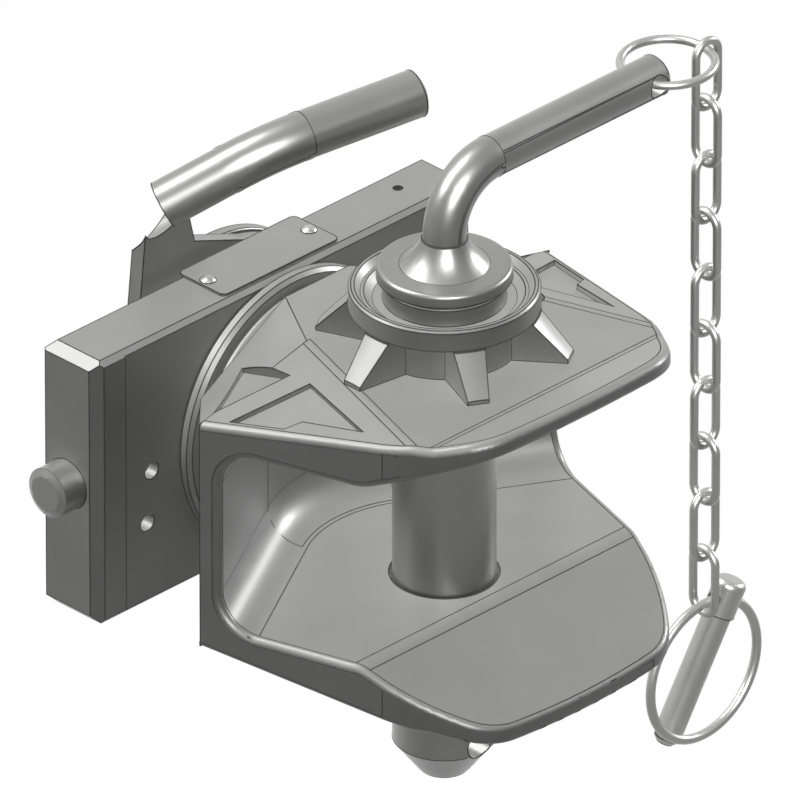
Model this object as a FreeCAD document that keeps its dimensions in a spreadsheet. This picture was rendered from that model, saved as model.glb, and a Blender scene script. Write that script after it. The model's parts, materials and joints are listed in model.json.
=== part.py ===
"""Swivelling clevis hitch with a plug pin, on a height-adjustable slide plate.

The slide plate stands across the tractor between two ladder rails. Two spring-held
locking bolts in its ends enter the rails, and one lever behind the plate draws both
in through a pair of spiral cam slots. The forged jaw turns about the plate's middle,
and the coupling pin drops through both of its lips. A lynch pin hangs from the pin's
handle on a chain.

X is across the tractor, -Y is towards the trailer and Z is up. The origin is on the
swivel axis, halfway through the slide plate.
"""

import FreeCAD, Part
import math
import os
import Sketcher
from FreeCAD import Placement, Rotation, Vector

# Driving dimensions in millimetres and degrees, with what each one measures
DIMENSIONS = (
    ("plate_width", 300.0, "slide plate, across the tractor"),
    ("plate_height", 170.0, "slide plate, top to bottom"),
    ("plate_thickness", 47.0, "slide plate, front to back"),
    ("plate_end_chamfer", 6.0, "chamfer round both end faces"),
    ("plate_front_chamfer", 3.5, "chamfer along the front edges"),
    ("plate_rear_chamfer", 10.0, "chamfer along the rear edges"),
    ("guide_strip_width", 23.0, "raised strip at each end of the front face"),
    ("guide_strip_rise", 0.5, "height of the guide strips"),
    ("plate_hole_radius", 5.3, "drilled holes in the front face"),
    ("upper_hole_offset", 106.5, "upper drilled hole from the centre"),
    ("lower_hole_offset", 110.0, "lower drilled hole from the centre"),
    ("lower_hole_drop", 32.4, "lower drilled hole below the centre"),
    ("oil_hole_radius", 2.7, "oil hole down to the right bolt"),
    ("oil_hole_offset", 111.6, "oil hole from the centre"),
    ("body_gap", 0.3, "clearance between pieces that move past each other"),
    ("fit_gap", 0.05, "radial clearance of the running fits"),
    ("seat_gap", 0.02, "radial clearance of pieces seated in one another"),
    ("journal_radius", 25.0, "swivel journal of the jaw"),
    ("thread_radius", 24.0, "threaded end of the journal"),
    ("swivel_bush_wall", 3.0, "wall of the two swivel bushes"),
    ("front_bush_flange_radius", 37.0, "flange of the front swivel bush"),
    ("front_bush_flange", 4.0, "thickness of that flange"),
    ("hub_radius", 32.0, "hub of the rear bush, on which the lever turns"),
    ("lever_thickness", 9.5, "lever plate"),
    ("lever_disc_radius", 82.0, "round part of the lever plate"),
    ("lever_throw", 26.0, "angle the lever turns through"),
    ("bolt_radius", 15.0, "locking bolts"),
    ("bolt_reach", 17.7, "bolt outside the end face when locked"),
    ("bolt_travel", 18.2, "bolt stroke over the lever's throw"),
    ("bolt_tip_chamfer", 4.5, "radial chamfer of the bolt's tip"),
    ("bolt_relief_depth", 0.5, "groove round the bolt at the plate's end face"),
    ("bolt_relief_width", 3.0, "groove round the bolt at the plate's end face"),
    ("bolt_inner_end", 58.0, "inner end of the locked bolt from the centre"),
    ("bolt_bore_bottom", 37.0, "bottom of the bolt's bore from the centre"),
    ("stud_radius", 6.5, "cam stud screwed into each bolt"),
    ("stud_offset", 68.0, "cam stud from the centre when locked"),
    ("stud_seat_depth", 7.0, "cam stud below the bolt's axis"),
    ("spring_groove_inner", 34.0, "groove for the lever's torsion spring"),
    ("spring_groove_outer", 41.0, "outer wall of that groove"),
    ("spring_groove_depth", 8.2, "depth of that groove"),
    ("spring_wire_radius", 1.5, "wire of the torsion spring"),
    ("spring_wrap", 345.0, "degrees that the torsion spring goes round"),
    ("disc_radius", 84.0, "thrust disc behind the lever"),
    ("disc_thickness", 8.0, "thrust disc"),
    ("nut_flats", 75.0, "castle nut across its flats"),
    ("nut_height", 22.0, "castle nut"),
    ("nut_slot_width", 7.0, "slots of the castle nut"),
    ("nut_slot_depth", 8.0, "slots of the castle nut"),
    ("journal_tail", 4.0, "journal end behind the nut"),
    ("cotter_radius", 3.0, "split pin through the castle nut"),
    ("cotter_length", 86.0, "split pin"),
    ("cotter_eye_radius", 5.5, "eye of the split pin"),
    ("name_plate_length", 92.0, "bare data plate on top"),
    ("name_plate_depth", 37.0, "data plate, front to back"),
    ("name_plate_thickness", 1.5, "data plate"),
    ("name_plate_setback", 4.5, "data plate behind the front face"),
    ("name_plate_shift", 0.75, "data plate to the right of the centre"),
    ("name_plate_corner", 4.0, "corner radius of the data plate"),
    ("rivet_head_radius", 4.75, "rivets of the data plate"),
    ("rivet_shank_radius", 2.2, "rivets of the data plate"),
    ("rivet_head_height", 2.4, "rivets of the data plate"),
    ("rivet_depth", 8.0, "rivet shank below the plate's top"),
    ("rivet_spacing", 80.0, "between the two rivets"),
    ("flange_radius", 84.7, "swivel flange of the jaw"),
    ("flange_thickness", 5.0, "full-width part of the flange"),
    ("flange_bevel", 2.5, "bevel of the flange"),
    ("flange_groove_radius", 75.0, "groove between flange and neck"),
    ("flange_groove_width", 2.0, "groove between flange and neck"),
    ("neck_radius", 78.0, "neck in front of the flange"),
    ("neck_start", 12.0, "neck from the plate's front face"),
    ("shoulder_start", 24.0, "second section of the neck"),
    ("shoulder_ridge", 25.0, "half width of the flat top there"),
    ("shoulder_half_width", 92.0, "half width of the neck there"),
    ("shoulder_half_height", 50.0, "half height of the neck's side there"),
    ("cheek_start", 70.0, "rear corner of the jaw from the plate's face"),
    ("jaw_half_width", 138.56, "half width at the rear corners"),
    ("side_taper", 16.7, "each side leans in towards the front"),
    ("deck_half_height", 91.0, "flat deck above and below the axis"),
    ("deck_ridge", 53.93, "half width of the deck at the rear corners"),
    ("deck_front", 204.7, "front edge of the deck from the plate's face"),
    ("deck_front_ridge", 98.8, "half width of the deck at that edge"),
    ("deck_slope", 0.23, "fall of the flanks per unit of width"),
    ("lip_slope", 0.285, "rise of the lips in front of the deck"),
    ("side_end", 181.0, "where the straight side ends"),
    ("corner_x", 78.5, "front corner of the lips"),
    ("corner_reach", 225.0, "front corner of the lips"),
    ("nose_x", 54.5, "end of the flat nose"),
    ("nose_reach", 236.3, "end of the flat nose"),
    ("cheek_arc", 130.0, "radius between side and corner"),
    ("corner_arc", 40.0, "radius of the front corner"),
    ("nose_arc", 600.0, "radius of the nose"),
    ("mouth_half_height", 57.5, "mouth above and below the axis"),
    ("throat_angle", 29.9, "slant of the throat's walls"),
    ("throat_apex", 5.1, "where those walls would meet"),
    ("throat_round", 95.0, "radius of the throat in plan"),
    ("throat_fillet", 22.8, "radius between throat and floor"),
    ("mouth_bend", 166.5, "where the lips start to open"),
    ("mouth_slope", 0.45, "opening of each lip"),
    ("pocket_depth", 3.0, "forging pockets in the flanks"),
    ("rear_pocket_start", 45.0, "rear corner of the rear pocket from the plate's face"),
    ("rear_pocket_x", 79.0, "that corner"),
    ("rear_pocket_outer_x", 126.0, "the rear pocket's outer corner"),
    ("pocket_inner_x", 81.0, "pockets' inner corners at the rib"),
    ("rib_rear_inner", 85.0, "rib between the pockets, rear line, inner end"),
    ("rib_rear_outer", 70.5, "rear line of the rib, outer end"),
    ("rib_front_inner", 100.5, "front line of the rib, inner end"),
    ("rib_front_outer", 84.5, "front line of the rib, outer end"),
    ("strip_start", 117.0, "where the raised strip of the rim starts"),
    ("strip_inner_x", 108.0, "inner corner of that strip"),
    ("strip_inner_start", 122.0, "inner corner of that strip"),
    ("front_pocket_x", 98.5, "front point of the front pocket"),
    ("front_pocket_end", 160.0, "front point of the front pocket"),
    ("rim_strip", 6.5, "pockets' outer edge from the jaw's side"),
    ("ridge_fillet", 22.0, "radius between the deck and its flanks"),
    ("lip_foot_fillet", 12.0, "radius where the lips start to rise"),
    ("rim_fillet", 4.6, "radius of the upper lip's outer rim"),
    ("lower_rim_fillet", 3.0, "radius of the lower lip's outer rim"),
    ("mouth_fillet", 4.2, "radius round the edge of the mouth"),
    ("bend_fillet", 22.0, "radius of the lips' bend"),
    ("pin_reach", 125.0, "coupling pin's axis from the plate's face"),
    ("pin_radius", 29.4, "coupling pin"),
    ("pin_gap", 0.6, "radial clearance of the pin in its bushes"),
    ("pin_bottom", 164.0, "end of the pin's straight part below the axis"),
    ("pin_tip", 184.0, "lower end of the pin"),
    ("pin_tip_radius", 16.0, "lower end of the pin"),
    ("pin_hole_radius", 9.0, "cross hole for the lynch pin"),
    ("pin_hole_drop", 158.4, "cross hole below the axis"),
    ("pin_bush_wall", 5.0, "wall of the pin's bushes"),
    ("lower_bore_radius", 31.2, "mouth side of the lower jaw's bore"),
    ("lower_bore_depth", 8.0, "depth of that part of the bore"),
    ("collar_radius", 54.0, "ring of the star collar"),
    ("collar_top", 128.0, "rim of the collar above the axis"),
    ("collar_skirt", 114.2, "lower edge of the ring"),
    ("collar_rim_width", 3.5, "flat rim of the collar"),
    ("collar_dish_radius", 45.2, "step inside the collar"),
    ("collar_dish_depth", 4.0, "step inside the collar"),
    ("collar_seat_radius", 38.6, "seat under the pin's shoulder"),
    ("collar_seat_depth", 8.0, "seat below the rim"),
    ("collar_wall_radius", 43.0, "round wall between the legs"),
    ("leg_tip_radius", 73.0, "tips of the legs"),
    ("leg_tip_width", 12.5, "legs at their tips"),
    ("leg_root_width", 24.0, "legs at the wall"),
    ("leg_tip_height", 2.0, "legs at their tips"),
    ("shoulder_radius", 35.0, "shoulder under the pin's head"),
    ("shoulder_height", 10.0, "shoulder under the pin's head"),
    ("head_neck_radius", 33.0, "groove under the pin's head"),
    ("head_neck_height", 3.0, "groove under the pin's head"),
    ("head_radius", 38.4, "head of the pin"),
    ("head_thickness", 8.4, "head of the pin"),
    ("head_round", 2.4, "rounded edge of the head"),
    ("horn_radius", 25.6, "foot of the cone on the head"),
    ("horn_top_radius", 13.2, "top of the cone"),
    ("horn_height", 16.3, "cone on the head"),
    ("handle_radius", 12.35, "bent handle rod"),
    ("handle_height", 195.5, "handle's straight part above the axis"),
    ("handle_bend", 36.0, "radius of the handle's bend"),
    ("handle_length", 168.0, "handle's end from the pin's axis"),
    ("handle_chamfer", 1.5, "chamfer at the handle's end"),
    ("ring_hole_radius", 6.8, "cross hole for the ring"),
    ("ring_hole_inset", 9.3, "cross hole from the handle's end"),
    ("ring_radius", 26.7, "handle ring, to the middle of its wire"),
    ("ring_wire_radius", 2.5, "handle ring"),
    ("ring_offset", 23.3, "ring's centre from the cross hole"),
    ("ring_setback", 5.0, "ring's centre behind the handle's axis"),
    ("chain_angle", 11.0, "where the chain hangs on the ring"),
    ("link_wire_radius", 2.5, "chain links"),
    ("link_half_width", 8.75, "chain links, to the middle of the wire"),
    ("link_length", 41.8, "chain links, to the middle of the wire"),
    ("wire_gap", 0.2, "between wires that hang on one another"),
    ("bail_radius", 42.9, "ring of the lynch pin, to the middle of its wire"),
    ("bail_wire_radius", 2.8, "ring of the lynch pin"),
    ("lynch_tilt", 22.0, "head of the lynch pin round the ring from its top"),
    ("lynch_lean", 7.9, "lean of the shank behind the ring"),
    ("lynch_radius", 8.3, "shank of the lynch pin"),
    ("lynch_length", 93.0, "shank of the lynch pin from its cross hole"),
    ("lynch_head_radius", 9.6, "head of the lynch pin"),
    ("lynch_head_length", 13.0, "head above the cross hole"),
    ("lynch_collar_length", 9.0, "head below the cross hole"),
    ("lynch_hole_gap", 1.5, "radial clearance of the ring in the cross hole"),
    ("tube_radius", 14.0, "lever tube"),
    ("tube_wall", 3.0, "lever tube"),
    ("tube_bend", 95.0, "radius of the tube's bend"),
    ("plug_height", 5.0, "domed plug in the tube's end"),
    ("plug_depth", 14.0, "plug inside the tube"),
    ("tube_foot_x", -47.2, "lower end of the tube's middle line"),
    ("tube_foot_y", 27.5, "lower end of the tube's middle line"),
    ("tube_foot_z", 127.0, "lower end of the tube's middle line"),
    ("tube_elbow_x", 0.0, "bend of the tube's middle line"),
    ("tube_elbow_y", -6.5, "bend of the tube's middle line"),
    ("tube_elbow_z", 157.5, "bend of the tube's middle line"),
    ("tube_tip_x", 98.3, "tip of the tube's middle line"),
    ("tube_tip_y", -33.5, "tip of the tube's middle line"),
    ("tube_tip_z", 166.9, "tip of the tube's middle line"),
    ("arm_left", 63.5, "outer corner of the lever's arm"),
    ("arm_right", 34.0, "inner corner of the lever's arm"),
    ("arm_top", 131.0, "top of the lever's arm"),
    ("arm_corner", 5.0, "bevel of the arm's outer corner"),
    ("arm_foot_x", 72.7, "where the arm leaves the disc"),
    ("arm_foot_z", 38.0, "where the arm leaves the disc"),
    ("arm_notch_x", 25.8, "notch beside the arm"),
    ("arm_notch_z", 96.6, "notch beside the arm"),
    ("arm_heel_x", 17.4, "where the notch's edge meets the disc"),
    ("arm_heel_z", 80.1, "where the notch's edge meets the disc"),
)
LINK_COUNT = 10
LEG_COUNT = 6

doc = FreeCAD.newDocument("SwivelHitch")
sheet = doc.addObject("Spreadsheet::Sheet", "Sizes")
nodes = {}


class Size:
    """A number that carries the spreadsheet expression it comes from."""

    def __init__(self, value, text):
        self.value = float(value)
        self.text = text

    def __add__(self, other):
        other = as_size(other)
        return Size(self.value + other.value, f"({self.text} + {other.text})")

    def __sub__(self, other):
        other = as_size(other)
        return Size(self.value - other.value, f"({self.text} - {other.text})")

    def __mul__(self, other):
        other = as_size(other)
        return Size(self.value * other.value, f"({self.text} * {other.text})")

    def __truediv__(self, other):
        other = as_size(other)
        return Size(self.value / other.value, f"({self.text} / {other.text})")

    def __radd__(self, other):
        return as_size(other) + self

    def __rsub__(self, other):
        return as_size(other) - self

    def __rmul__(self, other):
        return as_size(other) * self

    def __neg__(self):
        return as_size(-1) * self


def as_size(number):
    """A plain number as a Size, or the Size itself."""
    if isinstance(number, Size):
        return number
    return Size(number, f"({number:.9g})")


def sine(angle):
    """Sine of an angle in degrees."""
    angle = as_size(angle)
    return Size(math.sin(math.radians(angle.value)), f"sin({angle.text})")


def cosine(angle):
    """Cosine of an angle in degrees."""
    angle = as_size(angle)
    return Size(math.cos(math.radians(angle.value)), f"cos({angle.text})")


class Sizes:
    """Every driving dimension as an attribute, tied to its cell."""


def fill_sheet():
    """Write the driving dimensions into the sheet, and give each cell its alias."""
    sizes = Sizes()
    for row, (alias, value, meaning) in enumerate(DIMENSIONS, start=1):
        sheet.set(f"A{row}", alias)
        sheet.set(f"B{row}", str(value))
        sheet.set(f"C{row}", meaning)
        sheet.setAlias(f"B{row}", alias)
        setattr(sizes, alias, Size(value, f"Sizes.{alias}"))
    doc.recompute()
    return sizes


size = fill_sheet()


def bind(thing, prop, amount):
    """Tie a property of an object to the sheet."""
    thing.setExpression(prop, as_size(amount).text)


def place(thing, x=0, y=0, z=0, turn=None):
    """Move an object to a place worked out from the sheet, and turn it."""
    if turn is not None:
        thing.Placement = Placement(Vector(), turn)
    for axis, amount in zip("xyz", (x, y, z)):
        bind(thing, f"Placement.Base.{axis}", amount)


def new_body(label):
    """An empty body for one piece."""
    body = doc.addObject("PartDesign::Body", label)
    body.Label = label
    nodes[label] = body
    return body


def origin_plane(body, role):
    """One of the body's own origin planes."""
    return next(f for f in body.Origin.OriginFeatures if f.Role == role)


def new_sketch(body, role, name, shift=0):
    """A sketch on an origin plane, moved along the plane's normal."""
    sketch = body.newObject("Sketcher::SketchObject", name)
    sketch.AttachmentSupport = [(origin_plane(body, role), "")]
    sketch.MapMode = "FlatFace"
    bind(sketch, "AttachmentOffset.Base.z", shift)
    return sketch


def pin_point(sketch, geometry, end, x, y):
    """Hold one end of a sketch line at coordinates from the sheet."""
    for kind, amount, axis in (("DistanceX", x, -2), ("DistanceY", y, -1)):
        amount = as_size(amount)
        if amount.value == 0:
            sketch.addConstraint(Sketcher.Constraint("PointOnObject", geometry, end, axis))
            continue
        rule = Sketcher.Constraint(kind, -1, 1, geometry, end, amount.value)
        index = sketch.addConstraint(rule)
        sketch.setExpression(f"Constraints[{index}]", amount.text)


def arc_between(start, end, radius, side):
    """The short arc from start to end; side +1 turns left and -1 turns right."""
    chord = end - start
    middle = (start + end) * 0.5
    left = Vector(-chord.y, chord.x, 0).normalize()
    centre = middle + left * side * math.sqrt(radius**2 - (chord.Length / 2) ** 2)
    first, last = (start, end) if side > 0 else (end, start)
    from_angle = math.atan2(first.y - centre.y, first.x - centre.x)
    to_angle = math.atan2(last.y - centre.y, last.x - centre.x)
    circle = Part.Circle(centre, Vector(0, 0, 1), radius)
    return Part.ArcOfCircle(circle, from_angle, to_angle)


def draw_outline(sketch, corners, closed=True):
    """Draw lines and arcs through corners, each (x, y) or (x, y, radius, side).

    A corner with a radius and a side starts an arc to the next corner.
    """
    points = [Vector(as_size(c[0]).value, as_size(c[1]).value, 0) for c in corners]
    count = len(corners) if closed else len(corners) - 1
    ends = []
    for index in range(count):
        corner = corners[index]
        start, end = points[index], points[(index + 1) % len(points)]
        if len(corner) == 2:
            geometry = sketch.addGeometry(Part.LineSegment(start, end), False)
            first, last = 1, 2
        else:
            radius, side = as_size(corner[2]), corner[3]
            geometry = sketch.addGeometry(arc_between(start, end, radius.value, side), False)
            rule = sketch.addConstraint(Sketcher.Constraint("Radius", geometry, radius.value))
            sketch.setExpression(f"Constraints[{rule}]", radius.text)
            first, last = (1, 2) if side > 0 else (2, 1)
        ends.append((geometry, first, last))
        pin_point(sketch, geometry, first, corner[0], corner[1])
    for index in range(count if closed else count - 1):
        geometry, _, last = ends[index]
        following, first, _ = ends[(index + 1) % count]
        sketch.addConstraint(Sketcher.Constraint("Coincident", geometry, last, following, first))
    if not closed:
        geometry, _, last = ends[-1]
        pin_point(sketch, geometry, last, corners[-1][0], corners[-1][1])


def draw_circle(sketch, x, y, radius):
    """Draw a circle whose centre and radius come from the sheet."""
    x, y, radius = as_size(x), as_size(y), as_size(radius)
    centre = Vector(x.value, y.value, 0)
    circle = Part.Circle(centre, Vector(0, 0, 1), radius.value)
    geometry = sketch.addGeometry(circle, False)
    rule = sketch.addConstraint(Sketcher.Constraint("Radius", geometry, radius.value))
    sketch.setExpression(f"Constraints[{rule}]", radius.text)
    pin_point(sketch, geometry, 3, x, y)


def outline_sketch(body, role, name, corners, shift=0):
    """A sketch with one closed outline."""
    sketch = new_sketch(body, role, name, shift)
    draw_outline(sketch, corners)
    return sketch


def pad(body, sketch, length, symmetric=False, backward=False):
    """Add material from a sketch."""
    feature = body.newObject("PartDesign::Pad", "Pad")
    feature.Profile = sketch
    bind(feature, "Length", length)
    feature.SideType = "Symmetric" if symmetric else "One side"
    feature.Reversed = backward
    return feature


def pocket(body, sketch, length, symmetric=False, backward=False):
    """Remove material; without backward the cut goes against the sketch's normal."""
    feature = body.newObject("PartDesign::Pocket", "Pocket")
    feature.Profile = sketch
    bind(feature, "Length", length)
    feature.SideType = "Symmetric" if symmetric else "One side"
    feature.Reversed = backward
    return feature


def revolve(body, sketch, axis="V_Axis", cut=False):
    """Turn a sketch a full circle about one of its axes."""
    kind = "Groove" if cut else "Revolution"
    feature = body.newObject("PartDesign::" + kind, kind)
    feature.Profile = sketch
    feature.ReferenceAxis = (sketch, [axis])
    feature.Angle = 360
    return feature


def cylinder(body, radius, height, x=0, y=0, z=0, turn=None, cut=True):
    """A round boss, or a bore, along its own Z axis."""
    kind = "SubtractiveCylinder" if cut else "AdditiveCylinder"
    feature = body.newObject("PartDesign::" + kind, kind)
    bind(feature, "Radius", radius)
    bind(feature, "Height", height)
    place(feature, x, y, z, turn)
    return feature


def pipe(body, path, profile):
    """Carry a profile sketch along a path sketch."""
    feature = body.newObject("PartDesign::AdditivePipe", "Pipe")
    feature.Profile = profile
    feature.Spine = path
    return feature


def edges_where(feature, test):
    """Names of the edges whose middle and direction pass a test."""
    found = []
    for index, edge in enumerate(feature.Shape.Edges, start=1):
        middle = edge.valueAt((edge.FirstParameter + edge.LastParameter) / 2)
        if test(edge, middle):
            found.append(f"Edge{index}")
    return found


def fillet(body, names, radius):
    """Round edges of the body's last feature."""
    base = body.Tip
    feature = body.newObject("PartDesign::Fillet", "Fillet")
    feature.Base = (base, names)
    bind(feature, "Radius", radius)
    return feature


def chamfer(body, names, length):
    """Bevel edges of the body's last feature."""
    base = body.Tip
    feature = body.newObject("PartDesign::Chamfer", "Chamfer")
    feature.Base = (base, names)
    bind(feature, "Size", length)
    return feature


# Turns that lay a cylinder along X, along Y or against Y
ALONG_X = Rotation(Vector(0, 1, 0), 90)
ALONG_Y = Rotation(Vector(1, 0, 0), -90)
ALONG_MINUS_Y = Rotation(Vector(1, 0, 0), 90)

half_plate = size.plate_thickness / 2
bush_radius = size.journal_radius + size.swivel_bush_wall
lever_front = half_plate + size.body_gap
lever_back = lever_front + size.lever_thickness
hub_length = size.lever_thickness + 2 * size.body_gap
disc_front = half_plate + hub_length + size.wire_gap
disc_back = disc_front + size.disc_thickness
nut_back = disc_back + size.nut_height
pin_y = -(half_plate + size.pin_reach)
bore_radius = size.pin_radius + size.pin_gap
collar_seat = size.collar_top - size.collar_seat_depth
head_bottom = collar_seat + size.body_gap + size.shoulder_height + size.head_neck_height
head_top = head_bottom + size.head_thickness
horn_top = head_top + size.horn_height
ring_hole_x = size.handle_length - size.ring_hole_inset
tube_foot = Vector(size.tube_foot_x.value, size.tube_foot_y.value, size.tube_foot_z.value)
tube_elbow = Vector(size.tube_elbow_x.value, size.tube_elbow_y.value, size.tube_elbow_z.value)
tube_tip = Vector(size.tube_tip_x.value, size.tube_tip_y.value, size.tube_tip_z.value)


def ahead(distance):
    """The Y of something a distance in front of the plate's front face."""
    return -(half_plate + distance)


def slide_plate():
    """The block that slides in the ladder rails, with every bore in it."""
    body = new_body("slide_plate")
    top = size.plate_height / 2
    front, rear = size.plate_front_chamfer, size.plate_rear_chamfer
    corners = (
        (-half_plate, -top + front),
        (-half_plate + front, -top),
        (half_plate - rear, -top),
        (half_plate, -top + rear),
        (half_plate, top - rear),
        (half_plate - rear, top),
        (-half_plate + front, top),
        (-half_plate, top - front),
    )
    section = outline_sketch(body, "YZ_Plane", "PlateSection", corners)
    pad(body, section, size.plate_width, symmetric=True)
    for role, half_depth in (("XZ_Plane", top), ("XY_Plane", half_plate)):
        bevels = new_sketch(body, role, "EndBevels")
        for x_side, side in ((1, 1), (-1, 1), (-1, -1), (1, -1)):
            draw_outline(bevels, end_bevel(x_side, side, half_depth))
        pocket(body, bevels, 2 * size.plate_height, symmetric=True)
    strip = size.plate_width / 2 - size.guide_strip_width
    recess = (
        (-strip, -size.plate_height),
        (strip, -size.plate_height),
        (strip, size.plate_height),
        (-strip, size.plate_height),
    )
    face = outline_sketch(
        body, "XZ_Plane", "FrontRecess", recess, half_plate - size.guide_strip_rise
    )
    pocket(body, face, size.plate_thickness, backward=True)
    through = 2 * size.plate_thickness
    cylinder(body, bush_radius + size.seat_gap, through, y=-size.plate_thickness, turn=ALONG_Y)
    cylinder(
        body,
        size.front_bush_flange_radius + size.seat_gap,
        size.front_bush_flange,
        y=-half_plate + size.guide_strip_rise,
        turn=ALONG_Y,
    )
    bolt_bore(body)
    stud_slots(body)
    for side in (-1, 1):
        for offset, drop in (
            (size.upper_hole_offset, 0),
            (size.lower_hole_offset, size.lower_hole_drop),
        ):
            cylinder(
                body,
                size.plate_hole_radius,
                half_plate - size.bolt_radius + (0 if drop else -2 * size.body_gap),
                x=side * offset,
                y=-half_plate,
                z=-1 * as_size(drop),
                turn=ALONG_Y,
            )
        cylinder(
            body,
            size.rivet_shank_radius + size.seat_gap,
            size.rivet_depth + size.body_gap,
            x=size.name_plate_shift + side * size.rivet_spacing / 2,
            y=rivet_row,
            z=top - size.rivet_depth - size.body_gap,
        )
    cylinder(
        body,
        size.oil_hole_radius,
        size.plate_height / 2 - size.bolt_radius,
        x=size.oil_hole_offset,
        z=size.bolt_radius,
    )


def end_bevel(x_side, side, half_depth):
    """The corner that an end face loses, as a triangle with its point outside."""
    bevel, end = size.plate_end_chamfer, size.plate_width / 2
    corners = (
        (x_side * (end - bevel - 1), side * (half_depth + 1)),
        (x_side * (end + 1), side * (half_depth - bevel - 1)),
        (x_side * (end + 1), side * (half_depth + 1)),
    )
    return corners


def bolt_bore(body):
    """The two blind bores for the locking bolts, and the spring's groove."""
    depth = size.plate_width / 2 - size.bolt_bore_bottom
    for side in (-1, 1):
        turn = ALONG_X if side > 0 else Rotation(Vector(0, 1, 0), -90)
        cylinder(
            body,
            size.bolt_radius + size.fit_gap,
            depth,
            x=side * size.bolt_bore_bottom,
            turn=turn,
        )
    bottom = half_plate - size.spring_groove_depth
    corners = (
        (size.spring_groove_inner, bottom),
        (size.spring_groove_outer, bottom),
        (size.spring_groove_outer, size.plate_thickness),
        (size.spring_groove_inner, size.plate_thickness),
    )
    groove = outline_sketch(body, "XY_Plane", "SpringGroove", corners)
    revolve(body, groove, cut=True)


def stud_slots(body):
    """Slots from the bolt bores out through the rear face, for the cam studs."""
    room = size.stud_radius + 2 * size.body_gap
    for side in (-1, 1):
        outer = size.stud_offset
        inner = size.stud_offset - size.bolt_travel
        near, far = (inner, outer) if side > 0 else (-outer, -inner)
        corners = (
            (near, -room),
            (far, -room, room, 1),
            (far + room, 0, room, 1),
            (far, room),
            (near, room, room, 1),
            (near - room, 0, room, 1),
        )
        slot = outline_sketch(body, "XZ_Plane", "StudSlot", corners)
        pocket(body, slot, size.plate_thickness)


rivet_row = ahead(-size.name_plate_setback - size.name_plate_depth / 2 - size.body_gap)


def swivel_bushes():
    """The flanged front bush, and the rear bush whose hub carries the lever."""
    inside = size.journal_radius + size.fit_gap
    front_face = -half_plate + size.guide_strip_rise
    middle = size.body_gap
    corners = (
        (inside, front_face),
        (size.front_bush_flange_radius, front_face),
        (size.front_bush_flange_radius, front_face + size.front_bush_flange),
        (bush_radius, front_face + size.front_bush_flange),
        (bush_radius, -middle),
        (inside, -middle),
    )
    front = new_body("front_swivel_bush")
    revolve(front, outline_sketch(front, "XY_Plane", "BushSection", corners))
    hub_back = half_plate + hub_length
    corners = (
        (inside, middle),
        (bush_radius, middle),
        (bush_radius, half_plate),
        (size.hub_radius, half_plate),
        (size.hub_radius, hub_back),
        (inside, hub_back),
    )
    rear = new_body("rear_swivel_bush")
    revolve(rear, outline_sketch(rear, "XY_Plane", "BushSection", corners))


def data_plate():
    """The bare plate on top of the slide plate, and its two domed rivets."""
    body = new_body("data_plate")
    left = size.name_plate_shift - size.name_plate_length / 2
    right = size.name_plate_shift + size.name_plate_length / 2
    near = ahead(-size.name_plate_setback)
    far = ahead(-size.name_plate_setback - size.name_plate_depth)
    corner = size.name_plate_corner
    corners = (
        (left, near + corner, corner, 1),
        (left + corner, near),
        (right - corner, near, corner, 1),
        (right, near + corner),
        (right, far - corner, corner, 1),
        (right - corner, far),
        (left + corner, far, corner, 1),
        (left, far - corner),
    )
    top = size.plate_height / 2
    pad(body, outline_sketch(body, "XY_Plane", "PlateOutline", corners, top), size.name_plate_thickness)
    rivets = new_body("data_plate_rivets")
    head = top + size.name_plate_thickness
    dome = (size.rivet_head_radius * size.rivet_head_radius + size.rivet_head_height * size.rivet_head_height) / (
        2 * size.rivet_head_height
    )
    for side in (-1, 1):
        cylinder(
            body,
            size.rivet_shank_radius + size.seat_gap,
            size.name_plate_thickness,
            x=size.name_plate_shift + side * size.rivet_spacing / 2,
            y=rivet_row,
            z=top,
        )
    profile = (
        (0, head - size.name_plate_thickness - size.rivet_depth),
        (size.rivet_shank_radius, head - size.name_plate_thickness - size.rivet_depth),
        (size.rivet_shank_radius, head),
        (size.rivet_head_radius, head, dome, 1),
        (0, head + size.rivet_head_height),
    )
    revolve(rivets, outline_sketch(rivets, "XZ_Plane", "RivetSection", profile))
    place(rivets, size.name_plate_shift - size.rivet_spacing / 2, rivet_row)
    pair = doc.addObject("Part::Compound", "RivetPair")
    other = doc.addObject("Part::Feature", "SecondRivet")
    doc.recompute()
    other.Shape = rivets.Shape
    place(other, size.name_plate_shift + size.rivet_spacing / 2, rivet_row)
    pair.Links = [rivets, other]
    nodes["data_plate_rivets"] = pair


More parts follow.
